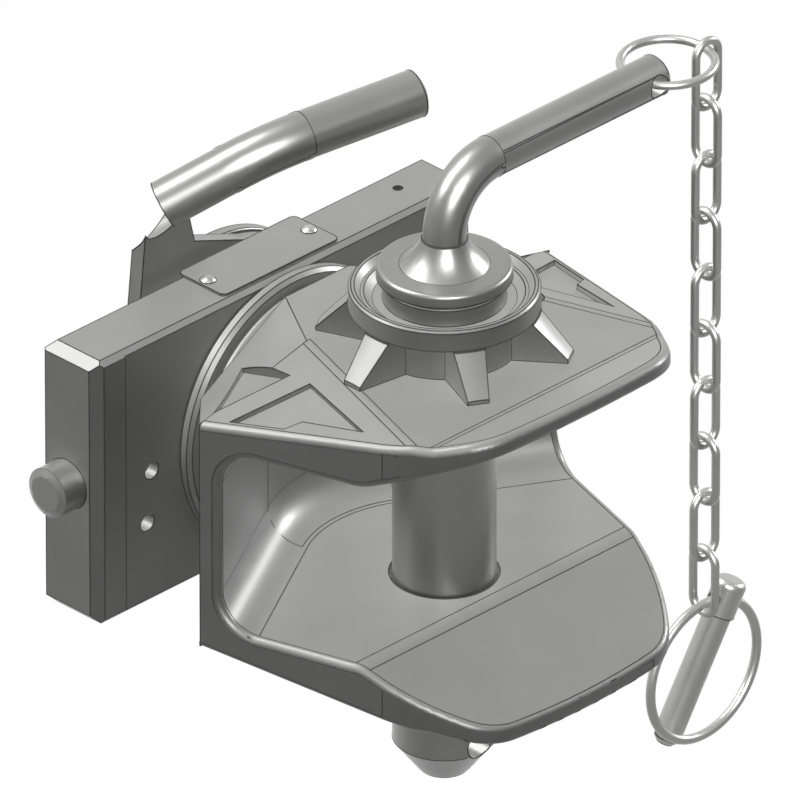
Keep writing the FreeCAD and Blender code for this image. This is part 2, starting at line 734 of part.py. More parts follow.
def locking_bolts():
    """The two bolts, each with the stud that runs in the lever's cam slot."""
    tip = size.plate_width / 2 + size.bolt_reach
    bevel = size.bolt_tip_chamfer
    relief = size.plate_width / 2 + size.body_gap
    waist = size.bolt_radius - size.bolt_relief_depth
    for side, name in ((-1, "left"), (1, "right")):
        bolt = new_body(f"{name}_locking_bolt")
        corners = (
            (side * size.bolt_inner_end, 0),
            (side * size.bolt_inner_end, size.bolt_radius - 1.5),
            (side * (size.bolt_inner_end + 1.5), size.bolt_radius),
            (side * (relief - size.bolt_relief_width), size.bolt_radius),
            (side * (relief - size.bolt_relief_width), waist),
            (side * relief, waist),
            (side * relief, size.bolt_radius),
            (side * (tip - bevel / 2), size.bolt_radius),
            (side * tip, size.bolt_radius - bevel),
            (side * tip, 0),
        )
        if side < 0:
            corners = corners[::-1]
        revolve(bolt, outline_sketch(bolt, "XY_Plane", "BoltSection", corners), "H_Axis")
        cylinder(
            bolt,
            size.stud_radius + size.seat_gap,
            2 * size.bolt_radius,
            x=side * size.stud_offset,
            y=-size.stud_seat_depth,
            turn=ALONG_Y,
        )
        stud = new_body(f"{name}_cam_stud")
        back = lever_back - size.body_gap
        corners = (
            (0, -size.stud_seat_depth),
            (size.stud_radius, -size.stud_seat_depth),
            (size.stud_radius, back - 1),
            (size.stud_radius - 1, back),
            (0, back),
        )
        revolve(stud, outline_sketch(stud, "XY_Plane", "StudSection", corners))
        place(stud, x=side * size.stud_offset)


def lever():
    """The lever plate with its cam slots, the bent tube and the plug in its end."""
    plate = new_body("lever_plate")
    radius = size.lever_disc_radius
    outline = new_sketch(plate, "XZ_Plane", "ArmOutline", -lever_front)
    arm = (
        (-size.arm_foot_x, size.arm_foot_z),
        (0, 0),
        (size.arm_heel_x, size.arm_heel_z),
        (-size.arm_notch_x, size.arm_notch_z),
        (-size.arm_right, size.arm_top),
        (-size.arm_left + size.arm_corner, size.arm_top),
        (-size.arm_left, size.arm_top - size.arm_corner),
    )
    draw_outline(outline, arm)
    pad(plate, outline, size.lever_thickness, backward=True)
    cylinder(plate, radius, size.lever_thickness, y=lever_front, turn=ALONG_Y, cut=False)
    hub_hole = size.hub_radius + size.fit_gap
    cylinder(plate, hub_hole, size.plate_thickness, y=half_plate, turn=ALONG_Y)
    along = (tube_elbow - tube_foot).normalize()
    cope = cylinder(plate, size.tube_radius + size.seat_gap, 4 * size.tube_radius)
    turn = Rotation(Vector(0, 0, 1), along)
    cope.Placement = Placement(tube_foot - along * size.tube_radius.value * 2, turn)
    for prop, value in zip("xyz", cope.Placement.Base):
        cope.setExpression(f"Placement.Base.{prop}", f"{value:.6f}")
    cut = doc.addObject("Part::Cut", "LeverWithCams")
    tools = doc.addObject("Part::Compound", "CamSlots")
    tools.Links = [cam_slot(side) for side in (-1, 1)]
    cut.Base = plate
    cut.Tool = tools
    nodes["lever_plate"] = cut
    lever_tube()


def cam_slot(side):
    """The tool that cuts one spiral slot: its radius falls evenly with the angle."""
    room = size.stud_radius.value + size.body_gap.value
    rate = size.bolt_travel.value / math.radians(size.lever_throw.value)
    spare = math.radians(0.6)
    throw = math.radians(size.lever_throw.value) + spare
    angles = [-spare + (throw + spare) * step / 8 for step in range(9)]
    near, far = [], []
    for angle in angles:
        reach = size.stud_offset.value - rate * angle
        spot = Vector(reach * math.cos(angle), 0, reach * math.sin(angle))
        way = Vector(
            -rate * math.cos(angle) - reach * math.sin(angle),
            0,
            -rate * math.sin(angle) + reach * math.cos(angle),
        ).normalize()
        normal = Vector(way.z, 0, -way.x)
        far.append((spot + normal * room) * side)
        near.append((spot - normal * room) * side)
        if angle in (angles[0], angles[-1]):
            cap = (spot + way * room * (-1 if angle == angles[0] else 1)) * side
            if angle == angles[0]:
                first_cap = cap
            else:
                last_cap = cap
    outer, inner = Part.BSplineCurve(), Part.BSplineCurve()
    outer.interpolate(far)
    inner.interpolate(near)
    edges = [
        outer.toShape(),
        Part.Arc(far[-1], last_cap, near[-1]).toShape(),
        inner.toShape(),
        Part.Arc(near[0], first_cap, far[0]).toShape(),
    ]
    face = Part.Face(Part.Wire(Part.__sortEdges__(edges)))
    tool = doc.addObject("Part::Feature", "CamSlot")
    tool.Shape = face.extrude(Vector(0, 3 * size.lever_thickness.value, 0))
    place(tool, y=half_plate - size.lever_thickness)
    return tool


def lever_tube():
    """The bent tube, drawn in its own plane with its first run along X."""
    first, second = tube_elbow - tube_foot, tube_tip - tube_elbow
    turn_angle = first.getAngle(second)
    setback = size.tube_bend.value * math.tan(turn_angle / 2)
    run, rest = first.Length, second.Length - size.plug_height.value
    lift = Vector(math.cos(turn_angle), math.sin(turn_angle), 0)
    elbow = Vector(run, 0, 0)
    near, far = elbow - Vector(setback, 0, 0), elbow + lift * setback
    tip = elbow + lift * rest
    half_lift = Vector(math.cos(turn_angle / 2), math.sin(turn_angle / 2), 0)
    centre = near + Vector(0, size.tube_bend.value, 0)
    crown = centre + Vector(half_lift.y, -half_lift.x, 0) * size.tube_bend.value
    path = Part.Wire(
        [
            Part.LineSegment(Vector(), near).toShape(),
            Part.Arc(near, crown, far).toShape(),
            Part.LineSegment(far, tip).toShape(),
        ]
    )

    def tube_solid(radius):
        ring = Part.Wire([Part.Circle(Vector(), Vector(1, 0, 0), radius).toShape()])
        return path.makePipeShell([ring], True, False)

    across = first.cross(second).normalize()
    x_way = Vector(first).normalize()
    frame = Rotation(x_way, across.cross(x_way), across, "XYZ")
    tube = doc.addObject("Part::Feature", "lever_tube")
    bore = size.tube_radius.value - size.tube_wall.value
    tube.Shape = tube_solid(size.tube_radius.value).cut(tube_solid(bore))
    tube.Placement = Placement(tube_foot, frame)
    nodes["lever_tube"] = tube
    plug = new_body("lever_tube_plug")
    inner = size.tube_radius - size.tube_wall - size.seat_gap
    dome = (size.tube_radius * size.tube_radius + size.plug_height * size.plug_height) / (2 * size.plug_height)
    corners = (
        (0, -size.plug_depth),
        (inner, -size.plug_depth),
        (inner, 0),
        (size.tube_radius, 0, dome, 1),
        (0, size.plug_height),
    )
    revolve(plug, outline_sketch(plug, "XZ_Plane", "PlugSection", corners))
    way = Vector(second).normalize()
    plug.Placement = Placement(tube_tip - way * size.plug_height.value, Rotation(Vector(0, 0, 1), way))


def torsion_spring():
    """The spring round the hub that holds the lever in its locked place."""
    spring = doc.addObject("Part::Torus", "lever_spring")
    bind(spring, "Radius1", (size.spring_groove_inner + size.spring_groove_outer) / 2)
    bind(spring, "Radius2", size.spring_wire_radius)
    spring.Angle3 = size.spring_wrap.value
    low = half_plate - size.spring_groove_depth + size.spring_wire_radius + size.body_gap
    place(spring, y=low, turn=ALONG_Y)
    nodes["lever_spring"] = spring


def thrust_parts():
    """The thrust disc, the castle nut that holds it and the nut's split pin."""
    disc = new_body("thrust_disc")
    radius, bore = size.disc_radius, size.thread_radius + size.seat_gap
    corners = (
        (bore, disc_front),
        (radius - 1, disc_front),
        (radius, disc_front + 1),
        (radius, disc_back - 1.5),
        (radius - 1.5, disc_back),
        (bore, disc_back),
    )
    revolve(disc, outline_sketch(disc, "XY_Plane", "DiscSection", corners))
    nut = new_body("castle_nut")
    half = size.nut_flats / 2
    across = size.nut_flats / math.sqrt(3)
    hexagon = (
        (half, -across / 2),
        (half, across / 2),
        (0, across),
        (-half, across / 2),
        (-half, -across / 2),
        (0, -across),
    )
    pad(nut, outline_sketch(nut, "XZ_Plane", "NutOutline", hexagon, -disc_back), size.nut_height, backward=True)
    cylinder(nut, bore, 4 * size.nut_height, y=disc_back - size.nut_height, turn=ALONG_Y)
    slot_floor = nut_back - size.nut_slot_depth
    width = size.nut_slot_width / 2
    slot = outline_sketch(
        nut,
        "XZ_Plane",
        "NutSlot",
        ((0, -width), (size.nut_flats, -width), (size.nut_flats, width), (0, width)),
        -slot_floor,
    )
    first = pocket(nut, slot, size.nut_height)
    pattern = nut.newObject("PartDesign::PolarPattern", "NutSlots")
    pattern.Originals = [first]
    pattern.Axis = (nut.Origin.OriginFeatures[1], [""])
    pattern.Angle = 360
    pattern.Occurrences = 6
    nut.Tip = pattern
    corner_cut = (
        (half - 1, nut_back),
        (across + 1, nut_back),
        (across + 1, nut_back - (across - half) * 0.6),
    )
    revolve(nut, outline_sketch(nut, "XY_Plane", "NutBevel", corner_cut), cut=True)
    cotter = new_body("split_pin")
    cotter_y = nut_back - size.nut_slot_depth / 2
    half_long = size.cotter_length / 2
    eye = size.cotter_eye_radius
    cylinder(
        cotter, size.cotter_radius, size.cotter_length, x=-half_long, y=cotter_y, turn=ALONG_X, cut=False
    )
    eye_width = 2 * size.cotter_radius - 1
    eye_place = {"x": half_long + eye - 1, "y": cotter_y - eye_width / 2, "turn": ALONG_Y}
    cylinder(cotter, eye, eye_width, cut=False, **eye_place)
    cylinder(cotter, eye / 2, eye_width, **eye_place)


def jaw_section(body, reach, ridge, ridge_z, side, side_z, name):
    """One cross-section of the jaw: a flat deck, sloping flanks and upright sides."""
    corners = [
        (side, -side_z),
        (side, side_z),
        (ridge, ridge_z),
        (-ridge, ridge_z),
        (-side, side_z),
        (-side, -side_z),
        (-ridge, -ridge_z),
        (ridge, -ridge_z),
    ]
    return outline_sketch(body, "XZ_Plane", name, corners, half_plate + reach)


def round_section(body, reach, radius, ridge, ridge_z, side, side_z, name):
    """A round section whose eight arcs meet where the next section has corners."""
    corners = []
    flank, crown = math.hypot(side.value, side_z.value), math.hypot(ridge.value, ridge_z.value)
    spots = (
        (side / flank, side_z / flank * -1),
        (side / flank, side_z / flank),
        (ridge / crown, ridge_z / crown),
        (ridge / crown * -1, ridge_z / crown),
        (side / flank * -1, side_z / flank),
        (side / flank * -1, side_z / flank * -1),
        (ridge / crown * -1, ridge_z / crown * -1),
        (ridge / crown, ridge_z / crown * -1),
    )
    for x, z in spots:
        corners.append((radius * x, radius * z, radius, 1))
    return outline_sketch(body, "XZ_Plane", name, corners, half_plate + reach)


def coupling_jaw():
    """The forged jaw: journal, flange, neck, two opening lips and the mouth."""
    jaw = new_body("coupling_jaw")
    side_fall = (size.jaw_half_width - size.deck_ridge) * size.deck_slope
    cheek_z = size.deck_half_height - side_fall
    far = 1.2 * size.nose_reach
    rise = size.deck_half_height + (far - size.deck_front) * size.lip_slope
    corners = (
        (ahead(size.cheek_start), -size.deck_half_height),
        (ahead(size.deck_front), -size.deck_half_height),
        (ahead(far), -rise),
        (ahead(far), rise),
        (ahead(size.deck_front), size.deck_half_height),
        (ahead(size.cheek_start), size.deck_half_height),
    )
    pad(jaw, outline_sketch(jaw, "YZ_Plane", "DeckSection", corners), 2.4 * size.jaw_half_width, symmetric=True)
    for x_side in (-1, 1):
        for z_side in (-1, 1):
            slope_flank(jaw, x_side, z_side)
    pocket(jaw, plan_trim(jaw), 4 * size.deck_half_height, symmetric=True)
    doc.recompute()
    fillet(jaw, edges_where(jaw.Tip, on_ridge), size.ridge_fillet)
    doc.recompute()
    fillet(jaw, edges_where(jaw.Tip, on_lip_foot), size.lip_foot_fillet)
    doc.recompute()
    fillet(jaw, edges_where(jaw.Tip, on_upper_rim), size.rim_fillet)
    doc.recompute()
    fillet(jaw, edges_where(jaw.Tip, on_lower_rim), size.lower_rim_fillet)
    neck = round_section(
        jaw,
        size.neck_start,
        size.neck_radius,
        size.shoulder_ridge,
        size.deck_half_height,
        size.shoulder_half_width,
        size.shoulder_half_height,
        "NeckSection",
    )
    shoulder = jaw_section(
        jaw,
        size.shoulder_start,
        size.shoulder_ridge,
        size.deck_half_height - 2,
        size.shoulder_half_width,
        size.shoulder_half_height,
        "ShoulderSection",
    )
    cheek = jaw_section(
        jaw, size.cheek_start, size.deck_ridge, size.deck_half_height, size.jaw_half_width, cheek_z, "CheekSection"
    )
    back = jaw.newObject("PartDesign::AdditiveLoft", "Neck")
    back.Profile = neck
    back.Sections = [shoulder, cheek]
    back.Ruled = True
    revolve(jaw, journal_profile(jaw))
    for x_side in (-1, 1):
        for z_side in (-1, 1):
            flank_pockets(jaw, x_side, z_side)
    pocket(jaw, throat_plan(jaw), 2 * size.mouth_half_height, symmetric=True)
    doc.recompute()
    round_throat(jaw)
    pocket(jaw, mouth_wedge(jaw), 4 * size.jaw_half_width, symmetric=True)
    doc.recompute()
    round_mouth(jaw)
    jaw_bores(jaw)


def slope_flank(jaw, x_side, z_side):
    """Cut one of the four flanks, which fall from the deck's ridge to the side."""
    spread = (size.deck_front_ridge - size.deck_ridge) / (size.deck_front - size.cheek_start)
    slope = size.deck_slope.value
    normal = Vector(x_side * slope, slope * spread.value, z_side)
    turn = Rotation(Vector(0, 0, 1), normal)
    flank = jaw.newObject("PartDesign::SubtractiveBox", "Flank")
    extent = 4 * size.jaw_half_width
    for prop in ("Length", "Width", "Height"):
        bind(flank, prop, extent)
    corner = turn.multVec(Vector(-extent.value / 2, -extent.value / 2, 0))
    place(
        flank,
        x_side * size.deck_ridge + corner.x,
        ahead(size.cheek_start) + corner.y,
        z_side * size.deck_half_height + corner.z,
        turn,
    )


def flank_height(x, reach):
    """Height of the flank's plane at a place in plan."""
    deck, front = size.cheek_start.value, size.deck_front.value
    share = (reach - deck) / (front - deck)
    ridge = size.deck_ridge.value + share * (size.deck_front_ridge.value - size.deck_ridge.value)
    return size.deck_half_height.value - size.deck_slope.value * (x - ridge)


def jaw_height(x, reach):
    """Height of the flank, or behind it of the neck's upper facet, at a place in plan."""
    if reach > size.cheek_start.value:
        return flank_height(x, reach)
    start, end = size.shoulder_start.value, size.cheek_start.value
    share = (reach - start) / (end - start)

    def between(near, far):
        return near + share * (far - near)

    inner_x = between(size.shoulder_ridge.value, size.deck_ridge.value)
    inner_z = between(size.deck_half_height.value - 2, size.deck_half_height.value)
    outer_x = between(size.shoulder_half_width.value, size.jaw_half_width.value)
    outer_z = between(size.shoulder_half_height.value, flank_height(size.jaw_half_width.value, end))
    return inner_z + (x - inner_x) / (outer_x - inner_x) * (outer_z - inner_z)


def flank_pockets(jaw, x_side, z_side):
    """The two shallow pockets of a flank, with a slanting rib between them."""
    inner = size.pocket_inner_x.value
    strip = size.rim_strip.value
    rear_outer, front_outer = size.rib_rear_outer.value, size.rib_front_outer.value
    start, rear = size.strip_start.value, size.rear_pocket_start.value
    rear_corners = (
        (size.rear_pocket_outer_x.value, rear_outer),
        (size.rear_pocket_x.value, rear),
        (inner, size.rib_rear_inner.value),
    )
    front_corners = (
        (side_line(front_outer) - strip, front_outer),
        (inner, size.rib_front_inner.value),
        (size.front_pocket_x.value, size.front_pocket_end.value),
        (size.strip_inner_x.value, size.strip_inner_start.value),
        (side_line(start) - strip, start),
    )
    for corners in (rear_corners, front_corners):
        depth = size.pocket_depth.value
        spots = [in_jaw(x_side, z_side, *corner, jaw_height(*corner) - depth) for corner in corners[:3]]
        cut_pocket(jaw, [in_jaw(x_side, z_side, x, reach, 0) for x, reach in corners], spots, z_side)


def in_jaw(x_side, z_side, x, reach, height):
    """A point of one quarter of the jaw, from its plan and height."""
    return Vector(x_side * x, ahead(reach).value, z_side * height)


def cut_pocket(jaw, corners, floor, z_side):
    """Cut everything outside a floor plane through three points, within an outline in plan."""
    normal = (floor[1] - floor[0]).cross(floor[2] - floor[0]).normalize()
    if normal.z * z_side < 0:
        normal = -normal
    turn = Rotation(Vector(0, 0, 1), normal)
    outline = []
    for corner in corners:
        gap = floor[0] - corner
        corner.z = (gap.x * normal.x + gap.y * normal.y) / normal.z + floor[0].z
        spot = turn.inverted().multVec(corner - floor[0])
        outline.append((spot.x, spot.y))
    sketch = jaw.newObject("Sketcher::SketchObject", "FlankPocket")
    sketch.Placement = Placement(floor[0], turn)
    draw_outline(sketch, outline)
    pocket(jaw, sketch, 5 * size.pocket_depth, backward=True)


def on_ridge(edge, middle):
    """Whether an edge is a ridge between the deck and a flank."""
    on_deck = abs(abs(middle.z) - size.deck_half_height.value) < 0.01
    inside = size.deck_ridge.value < abs(middle.x) < side_line(reach_of(middle)) - 3
    return on_deck and inside and edge.Curve.TypeId == "Part::GeomLine"


def on_lip_foot(edge, middle):
    """Whether an edge runs across the deck where a lip starts to rise."""
    on_deck = abs(abs(middle.z) - size.deck_half_height.value) < 0.01
    return on_deck and abs(middle.x) < 0.01 and abs(reach_of(middle) - size.deck_front.value) < 0.01


def side_line(reach):
    """Half width of the jaw's straight side, a distance in front of the plate."""
    fall = math.tan(math.radians(size.side_taper.value))
    return size.jaw_half_width.value - (reach - size.cheek_start.value) * fall


def reach_of(point):
    """How far a point lies in front of the plate's front face."""
    return -point.y - half_plate.value


def on_upper_rim(edge, middle):
    """Whether an edge runs along the upper deck's outer rim."""
    return middle.z > 0 and on_rim(edge, middle)


def on_lower_rim(edge, middle):
    """Whether an edge runs along the lower deck's outer rim."""
    return middle.z < 0 and on_rim(edge, middle)


def on_rim(edge, middle):
    """Whether an edge runs along the outer rim of the upper or the lower deck."""
    reach, flat = reach_of(middle), abs(edge.tangentAt(edge.FirstParameter).z) < 0.9
    if not flat or reach < size.cheek_start.value + 1:
        return False
    if reach < size.side_end.value:
        return abs(middle.x) > side_line(reach) - 1
    return abs(reach - size.deck_front.value) > 0.01


def journal_profile(jaw):
    """Half section of the swivel journal and flange, about the swivel axis."""
    flange = size.flange_thickness
    corners = (
        (0, ahead(size.shoulder_start)),
        (size.flange_groove_radius - 8, ahead(size.shoulder_start)),
        (size.neck_radius, ahead(size.neck_start)),
        (size.neck_radius, ahead(flange + size.flange_bevel + size.flange_groove_width)),
        (size.flange_groove_radius, ahead(flange + size.flange_bevel + size.flange_groove_width)),
        (size.flange_groove_radius, ahead(flange + size.flange_bevel)),
        (size.flange_radius - size.flange_bevel, ahead(flange + size.flange_bevel)),
        (size.flange_radius, ahead(flange)),
        (size.flange_radius, ahead(size.body_gap)),
        (size.journal_radius, ahead(size.body_gap)),
        (size.journal_radius, disc_front),
        (size.thread_radius, disc_front),
        (size.thread_radius, nut_back + size.journal_tail - 2),
        (size.thread_radius - 2, nut_back + size.journal_tail),
        (0, nut_back + size.journal_tail),
    )
    return outline_sketch(jaw, "XY_Plane", "JournalSection", corners)


def plan_trim(jaw):
    """Everything outside the jaw's outline seen from above."""
    side_x = size.jaw_half_width - (size.side_end - size.cheek_start) * (
        sine(size.side_taper) / cosine(size.side_taper)
    )
    far = 1.2 * size.nose_reach
    wide = 1.2 * size.jaw_half_width
    corners = (
        (-wide, ahead(size.cheek_start)),
        (-size.jaw_half_width, ahead(size.cheek_start)),
        (-side_x, ahead(size.side_end), size.cheek_arc, 1),
        (-size.corner_x, ahead(size.corner_reach), size.corner_arc, 1),
        (-size.nose_x, ahead(size.nose_reach), size.nose_arc, 1),
        (size.nose_x, ahead(size.nose_reach), size.corner_arc, 1),
        (size.corner_x, ahead(size.corner_reach), size.cheek_arc, 1),
        (side_x, ahead(size.side_end)),
        (size.jaw_half_width, ahead(size.cheek_start)),
        (wide, ahead(size.cheek_start)),
        (wide, ahead(far)),
        (-wide, ahead(far)),
    )
    return outline_sketch(jaw, "XY_Plane", "PlanTrim", corners)


def throat_plan(jaw):
    """The mouth seen from above: two slanting walls that meet in a wide round."""
    slant = sine(size.throat_angle) / cosine(size.throat_angle)
    tangent_x = size.throat_round * sine(size.throat_angle)
    tangent_reach = size.throat_apex + tangent_x * slant
    wide = size.jaw_half_width + 20
    corners = (
        (-wide, ahead(size.throat_apex + wide * slant)),
        (-wide, ahead(size.nose_reach + 20)),
        (wide, ahead(size.nose_reach + 20)),
        (wide, ahead(size.throat_apex + wide * slant)),
        (tangent_x, ahead(tangent_reach), size.throat_round, 1),
        (-tangent_x, ahead(tangent_reach)),
    )
    return outline_sketch(jaw, "XY_Plane", "ThroatPlan", corners)


def round_throat(jaw):
    """Fillet the throat where its walls meet the flat faces of the two lips."""
    height = size.mouth_half_height.value
    reach_limit = -ahead(size.throat_apex + size.jaw_half_width).value

    def at_throat(edge, middle):
        if abs(abs(middle.z) - height) > 0.01 or -middle.y > reach_limit:
            return False
        inside = abs(middle.x) < size.jaw_half_width.value * 0.75
        return inside and -middle.y < -ahead(size.cheek_start + 20).value

    fillet(jaw, edges_where(jaw.Tip, at_throat), size.throat_fillet)


def round_mouth(jaw):
    """Round the bends of both lips, and then the whole edge of the mouth."""
    height, bend = size.mouth_half_height.value, size.mouth_bend.value

    def at_bend(edge, middle):
        return abs(reach_of(middle) - bend) < 0.01 and abs(middle.x) < 0.01

    fillet(jaw, edges_where(jaw.Tip, at_bend), size.bend_fillet)
    doc.recompute()

    def at_border(edge, middle):
        on_side = abs(abs(middle.x) - side_line(reach_of(middle))) < 0.05
        return on_side and abs(middle.z) < 0.01 and edge.Length < 2 * height

    fillet(jaw, edges_where(jaw.Tip, at_border), size.mouth_fillet)


def mouth_wedge(jaw):
    """The opening of the lips, seen from the side."""
    far = size.nose_reach + 20
    spread = (far - size.mouth_bend) * size.mouth_slope
    high = size.mouth_half_height
    corners = (
        (ahead(size.mouth_bend), high),
        (ahead(size.mouth_bend), -high),
        (ahead(far), -high - spread),
        (ahead(far), high + spread),
    )
    return outline_sketch(jaw, "YZ_Plane", "MouthWedge", corners)


def jaw_bores(jaw):
    """Bores for the pin's bushes, and the clearance hole above the lower one."""
    deep = size.deck_half_height
    radius = bore_radius + size.pin_bush_wall + size.seat_gap
    cylinder(jaw, radius, deep, y=pin_y, z=size.mouth_half_height / 2)
    cylinder(jaw, size.lower_bore_radius, deep, y=pin_y, z=-deep - 5)
    floor = size.mouth_half_height + size.lower_bore_depth
    cylinder(jaw, radius, deep, y=pin_y, z=-floor - deep)
    cylinder(
        jaw,
        size.cotter_radius + size.seat_gap,
        size.plate_width,
        x=-size.plate_width / 2,
        y=nut_back - size.nut_slot_depth / 2,
        turn=ALONG_X,
    )


def pin_bushes():
    """The hardened bushes that the coupling pin passes through."""
    outside = bore_radius + size.pin_bush_wall
    upper = new_body("upper_pin_bush")
    bottom, top = size.mouth_half_height, size.deck_half_height
    corners = ((bore_radius, bottom), (outside, bottom), (outside, top), (bore_radius, top))
    section = outline_sketch(upper, "XZ_Plane", "BushSection", corners)
    revolve(upper, section)
    place(upper, y=pin_y)
    lower = new_body("lower_pin_bush")
    top = -(size.mouth_half_height + size.lower_bore_depth)
    bottom = -size.deck_half_height
    corners = ((bore_radius, bottom), (outside, bottom), (outside, top), (bore_radius, top))
    section = outline_sketch(lower, "XZ_Plane", "BushSection", corners)
    revolve(lower, section)
    place(lower, y=pin_y)


def star_collar():
    """The six-legged collar that guides the pin above the upper lip."""
    collar = new_body("star_collar")
    rim = size.collar_radius
    deck = size.deck_half_height
    dish = size.collar_top - size.collar_dish_depth
    corners = (
        (bore_radius, deck),
        (size.collar_wall_radius, deck),
        (size.collar_wall_radius, size.collar_skirt - 5),
        (rim - 2, size.collar_skirt),
        (rim, size.collar_skirt + 1),
        (rim, size.collar_top - 1.5),
        (rim - 1.5, size.collar_top),
        (rim - size.collar_rim_width, size.collar_top),
        (size.collar_dish_radius + 2, dish),
        (size.collar_dish_radius, dish),
        (size.collar_seat_radius + 2, collar_seat),
        (bore_radius, collar_seat),
    )
    revolve(collar, outline_sketch(collar, "XZ_Plane", "CollarSection", corners))
    root = bore_radius + 4
    leg = (
        (root, -size.leg_root_width / 2),
        (size.leg_tip_radius, -size.leg_tip_width / 2),
        (size.leg_tip_radius, size.leg_tip_width / 2),
        (root, size.leg_root_width / 2),
    )
    height = size.collar_skirt - deck + 1
    first = pad(collar, outline_sketch(collar, "XY_Plane", "LegPlan", leg, deck), height)
    legs = collar.newObject("PartDesign::PolarPattern", "Legs")
    legs.Originals = [first]
    legs.Axis = (collar.Origin.OriginFeatures[2], [""])
    legs.Angle = 360
    legs.Occurrences = LEG_COUNT
    collar.Tip = legs
    beyond = size.leg_tip_radius + 20
    slope = (
        (size.leg_tip_radius + 0.5, deck + size.leg_tip_height),
        (beyond, deck + size.leg_tip_height),
        (beyond, size.collar_top),
        (rim + 0.5, size.collar_top),
        (rim + 0.5, size.collar_skirt),
    )
    revolve(collar, outline_sketch(collar, "XZ_Plane", "LegSlope", slope), cut=True)
    place(collar, y=pin_y)


def coupling_pin():
    """The turned pin with its head, cone and lynch-pin hole."""
    pin = new_body("coupling_pin")
    shoulder = collar_seat + size.body_gap
    neck = shoulder + size.shoulder_height
    corners = (
        (0, -size.pin_tip),
        (size.pin_tip_radius - 2, -size.pin_tip),
        (size.pin_tip_radius, -size.pin_tip + 2),
        (size.pin_radius, -size.pin_bottom),
        (size.pin_radius, shoulder),
        (size.shoulder_radius, shoulder),
        (size.shoulder_radius, neck),
        (size.head_neck_radius, neck),
        (size.head_neck_radius, head_bottom),
        (size.head_radius - 1, head_bottom),
        (size.head_radius, head_bottom + 1),
        (size.head_radius, head_top - size.head_round, size.head_round, 1),
        (size.head_radius - size.head_round, head_top),
        (size.horn_radius, head_top, 2.2 * size.horn_height, -1),
        (size.horn_top_radius, horn_top),
        (0, horn_top),
    )
    revolve(pin, outline_sketch(pin, "XZ_Plane", "PinSection", corners))
    place(pin, y=pin_y)
    cylinder(
        pin,
        size.pin_hole_radius,
        4 * size.pin_radius,
        y=-2 * size.pin_radius,
        z=-size.pin_hole_drop,
        turn=ALONG_Y,
    )
    handle = new_body("pin_handle")
    bend = size.handle_bend
    path = new_sketch(handle, "XZ_Plane", "HandlePath")
    draw_outline(
        path,
        (
            (0, horn_top),
            (0, size.handle_height - bend, bend, -1),
            (bend, size.handle_height),
            (size.handle_length, size.handle_height),
        ),
        closed=False,
    )
    section = new_sketch(handle, "XY_Plane", "HandleSection", horn_top)
    draw_circle(section, 0, 0, size.handle_radius)
    pipe(handle, path, section)
    doc.recompute()
    end = size.handle_length.value
    rim = edges_where(handle.Tip, lambda edge, middle: abs(middle.x - end) < 0.01)
    chamfer(handle, rim, size.handle_chamfer)
    cylinder(
        handle,
        size.ring_hole_radius,
        4 * size.handle_radius,
        x=ring_hole_x,
        y=-2 * size.handle_radius,
        z=size.handle_height,
        turn=ALONG_Y,
    )
    place(handle, y=pin_y)


ring_x = ring_hole_x + size.ring_offset
ring_y = pin_y + size.ring_setback
chain_x = ring_x + size.ring_radius * cosine(size.chain_angle)
chain_y = ring_y - size.ring_radius * sine(size.chain_angle)
link_top = size.handle_height + size.ring_wire_radius + size.link_wire_radius + size.wire_gap
link_pitch = size.link_length - 2 * size.link_wire_radius - size.wire_gap
chain_end = link_top - (LINK_COUNT - 1) * link_pitch - size.link_length
bail_z = chain_end + size.link_wire_radius + size.bail_wire_radius + size.wire_gap - size.bail_radius


def wire_ring(label, radius, wire, x, y, z, turn):
    """A ring of round wire."""
    ring = doc.addObject("Part::Torus", label)
    ring.Label = label
    bind(ring, "Radius1", radius)
    bind(ring, "Radius2", wire)
    place(ring, x, y, z, turn)
    nodes[label] = ring


def chain_links():
    """Ten long links, each turned a quarter from the one above."""
    for index in range(LINK_COUNT):
        link = new_body(f"chain_link_{index + 1:02d}")
        half, wide = size.link_length / 2, size.link_half_width
        straight = half - wide
        path = new_sketch(link, "XZ_Plane", "LinkPath")
        draw_outline(
            path,
            (
                (wide, -straight),
                (wide, straight, wide, 1),
                (0, half, wide, 1),
                (-wide, straight),
                (-wide, -straight, wide, 1),
                (0, -half, wide, 1),
            ),
        )
        section = new_sketch(link, "XY_Plane", "LinkSection")
        draw_circle(section, wide, 0, size.link_wire_radius)
        pipe(link, path, section)
        turn = Rotation(Vector(0, 0, 1), 0 if index % 2 == 0 else 90)
        place(link, chain_x, chain_y, link_top - index * link_pitch - half, turn)


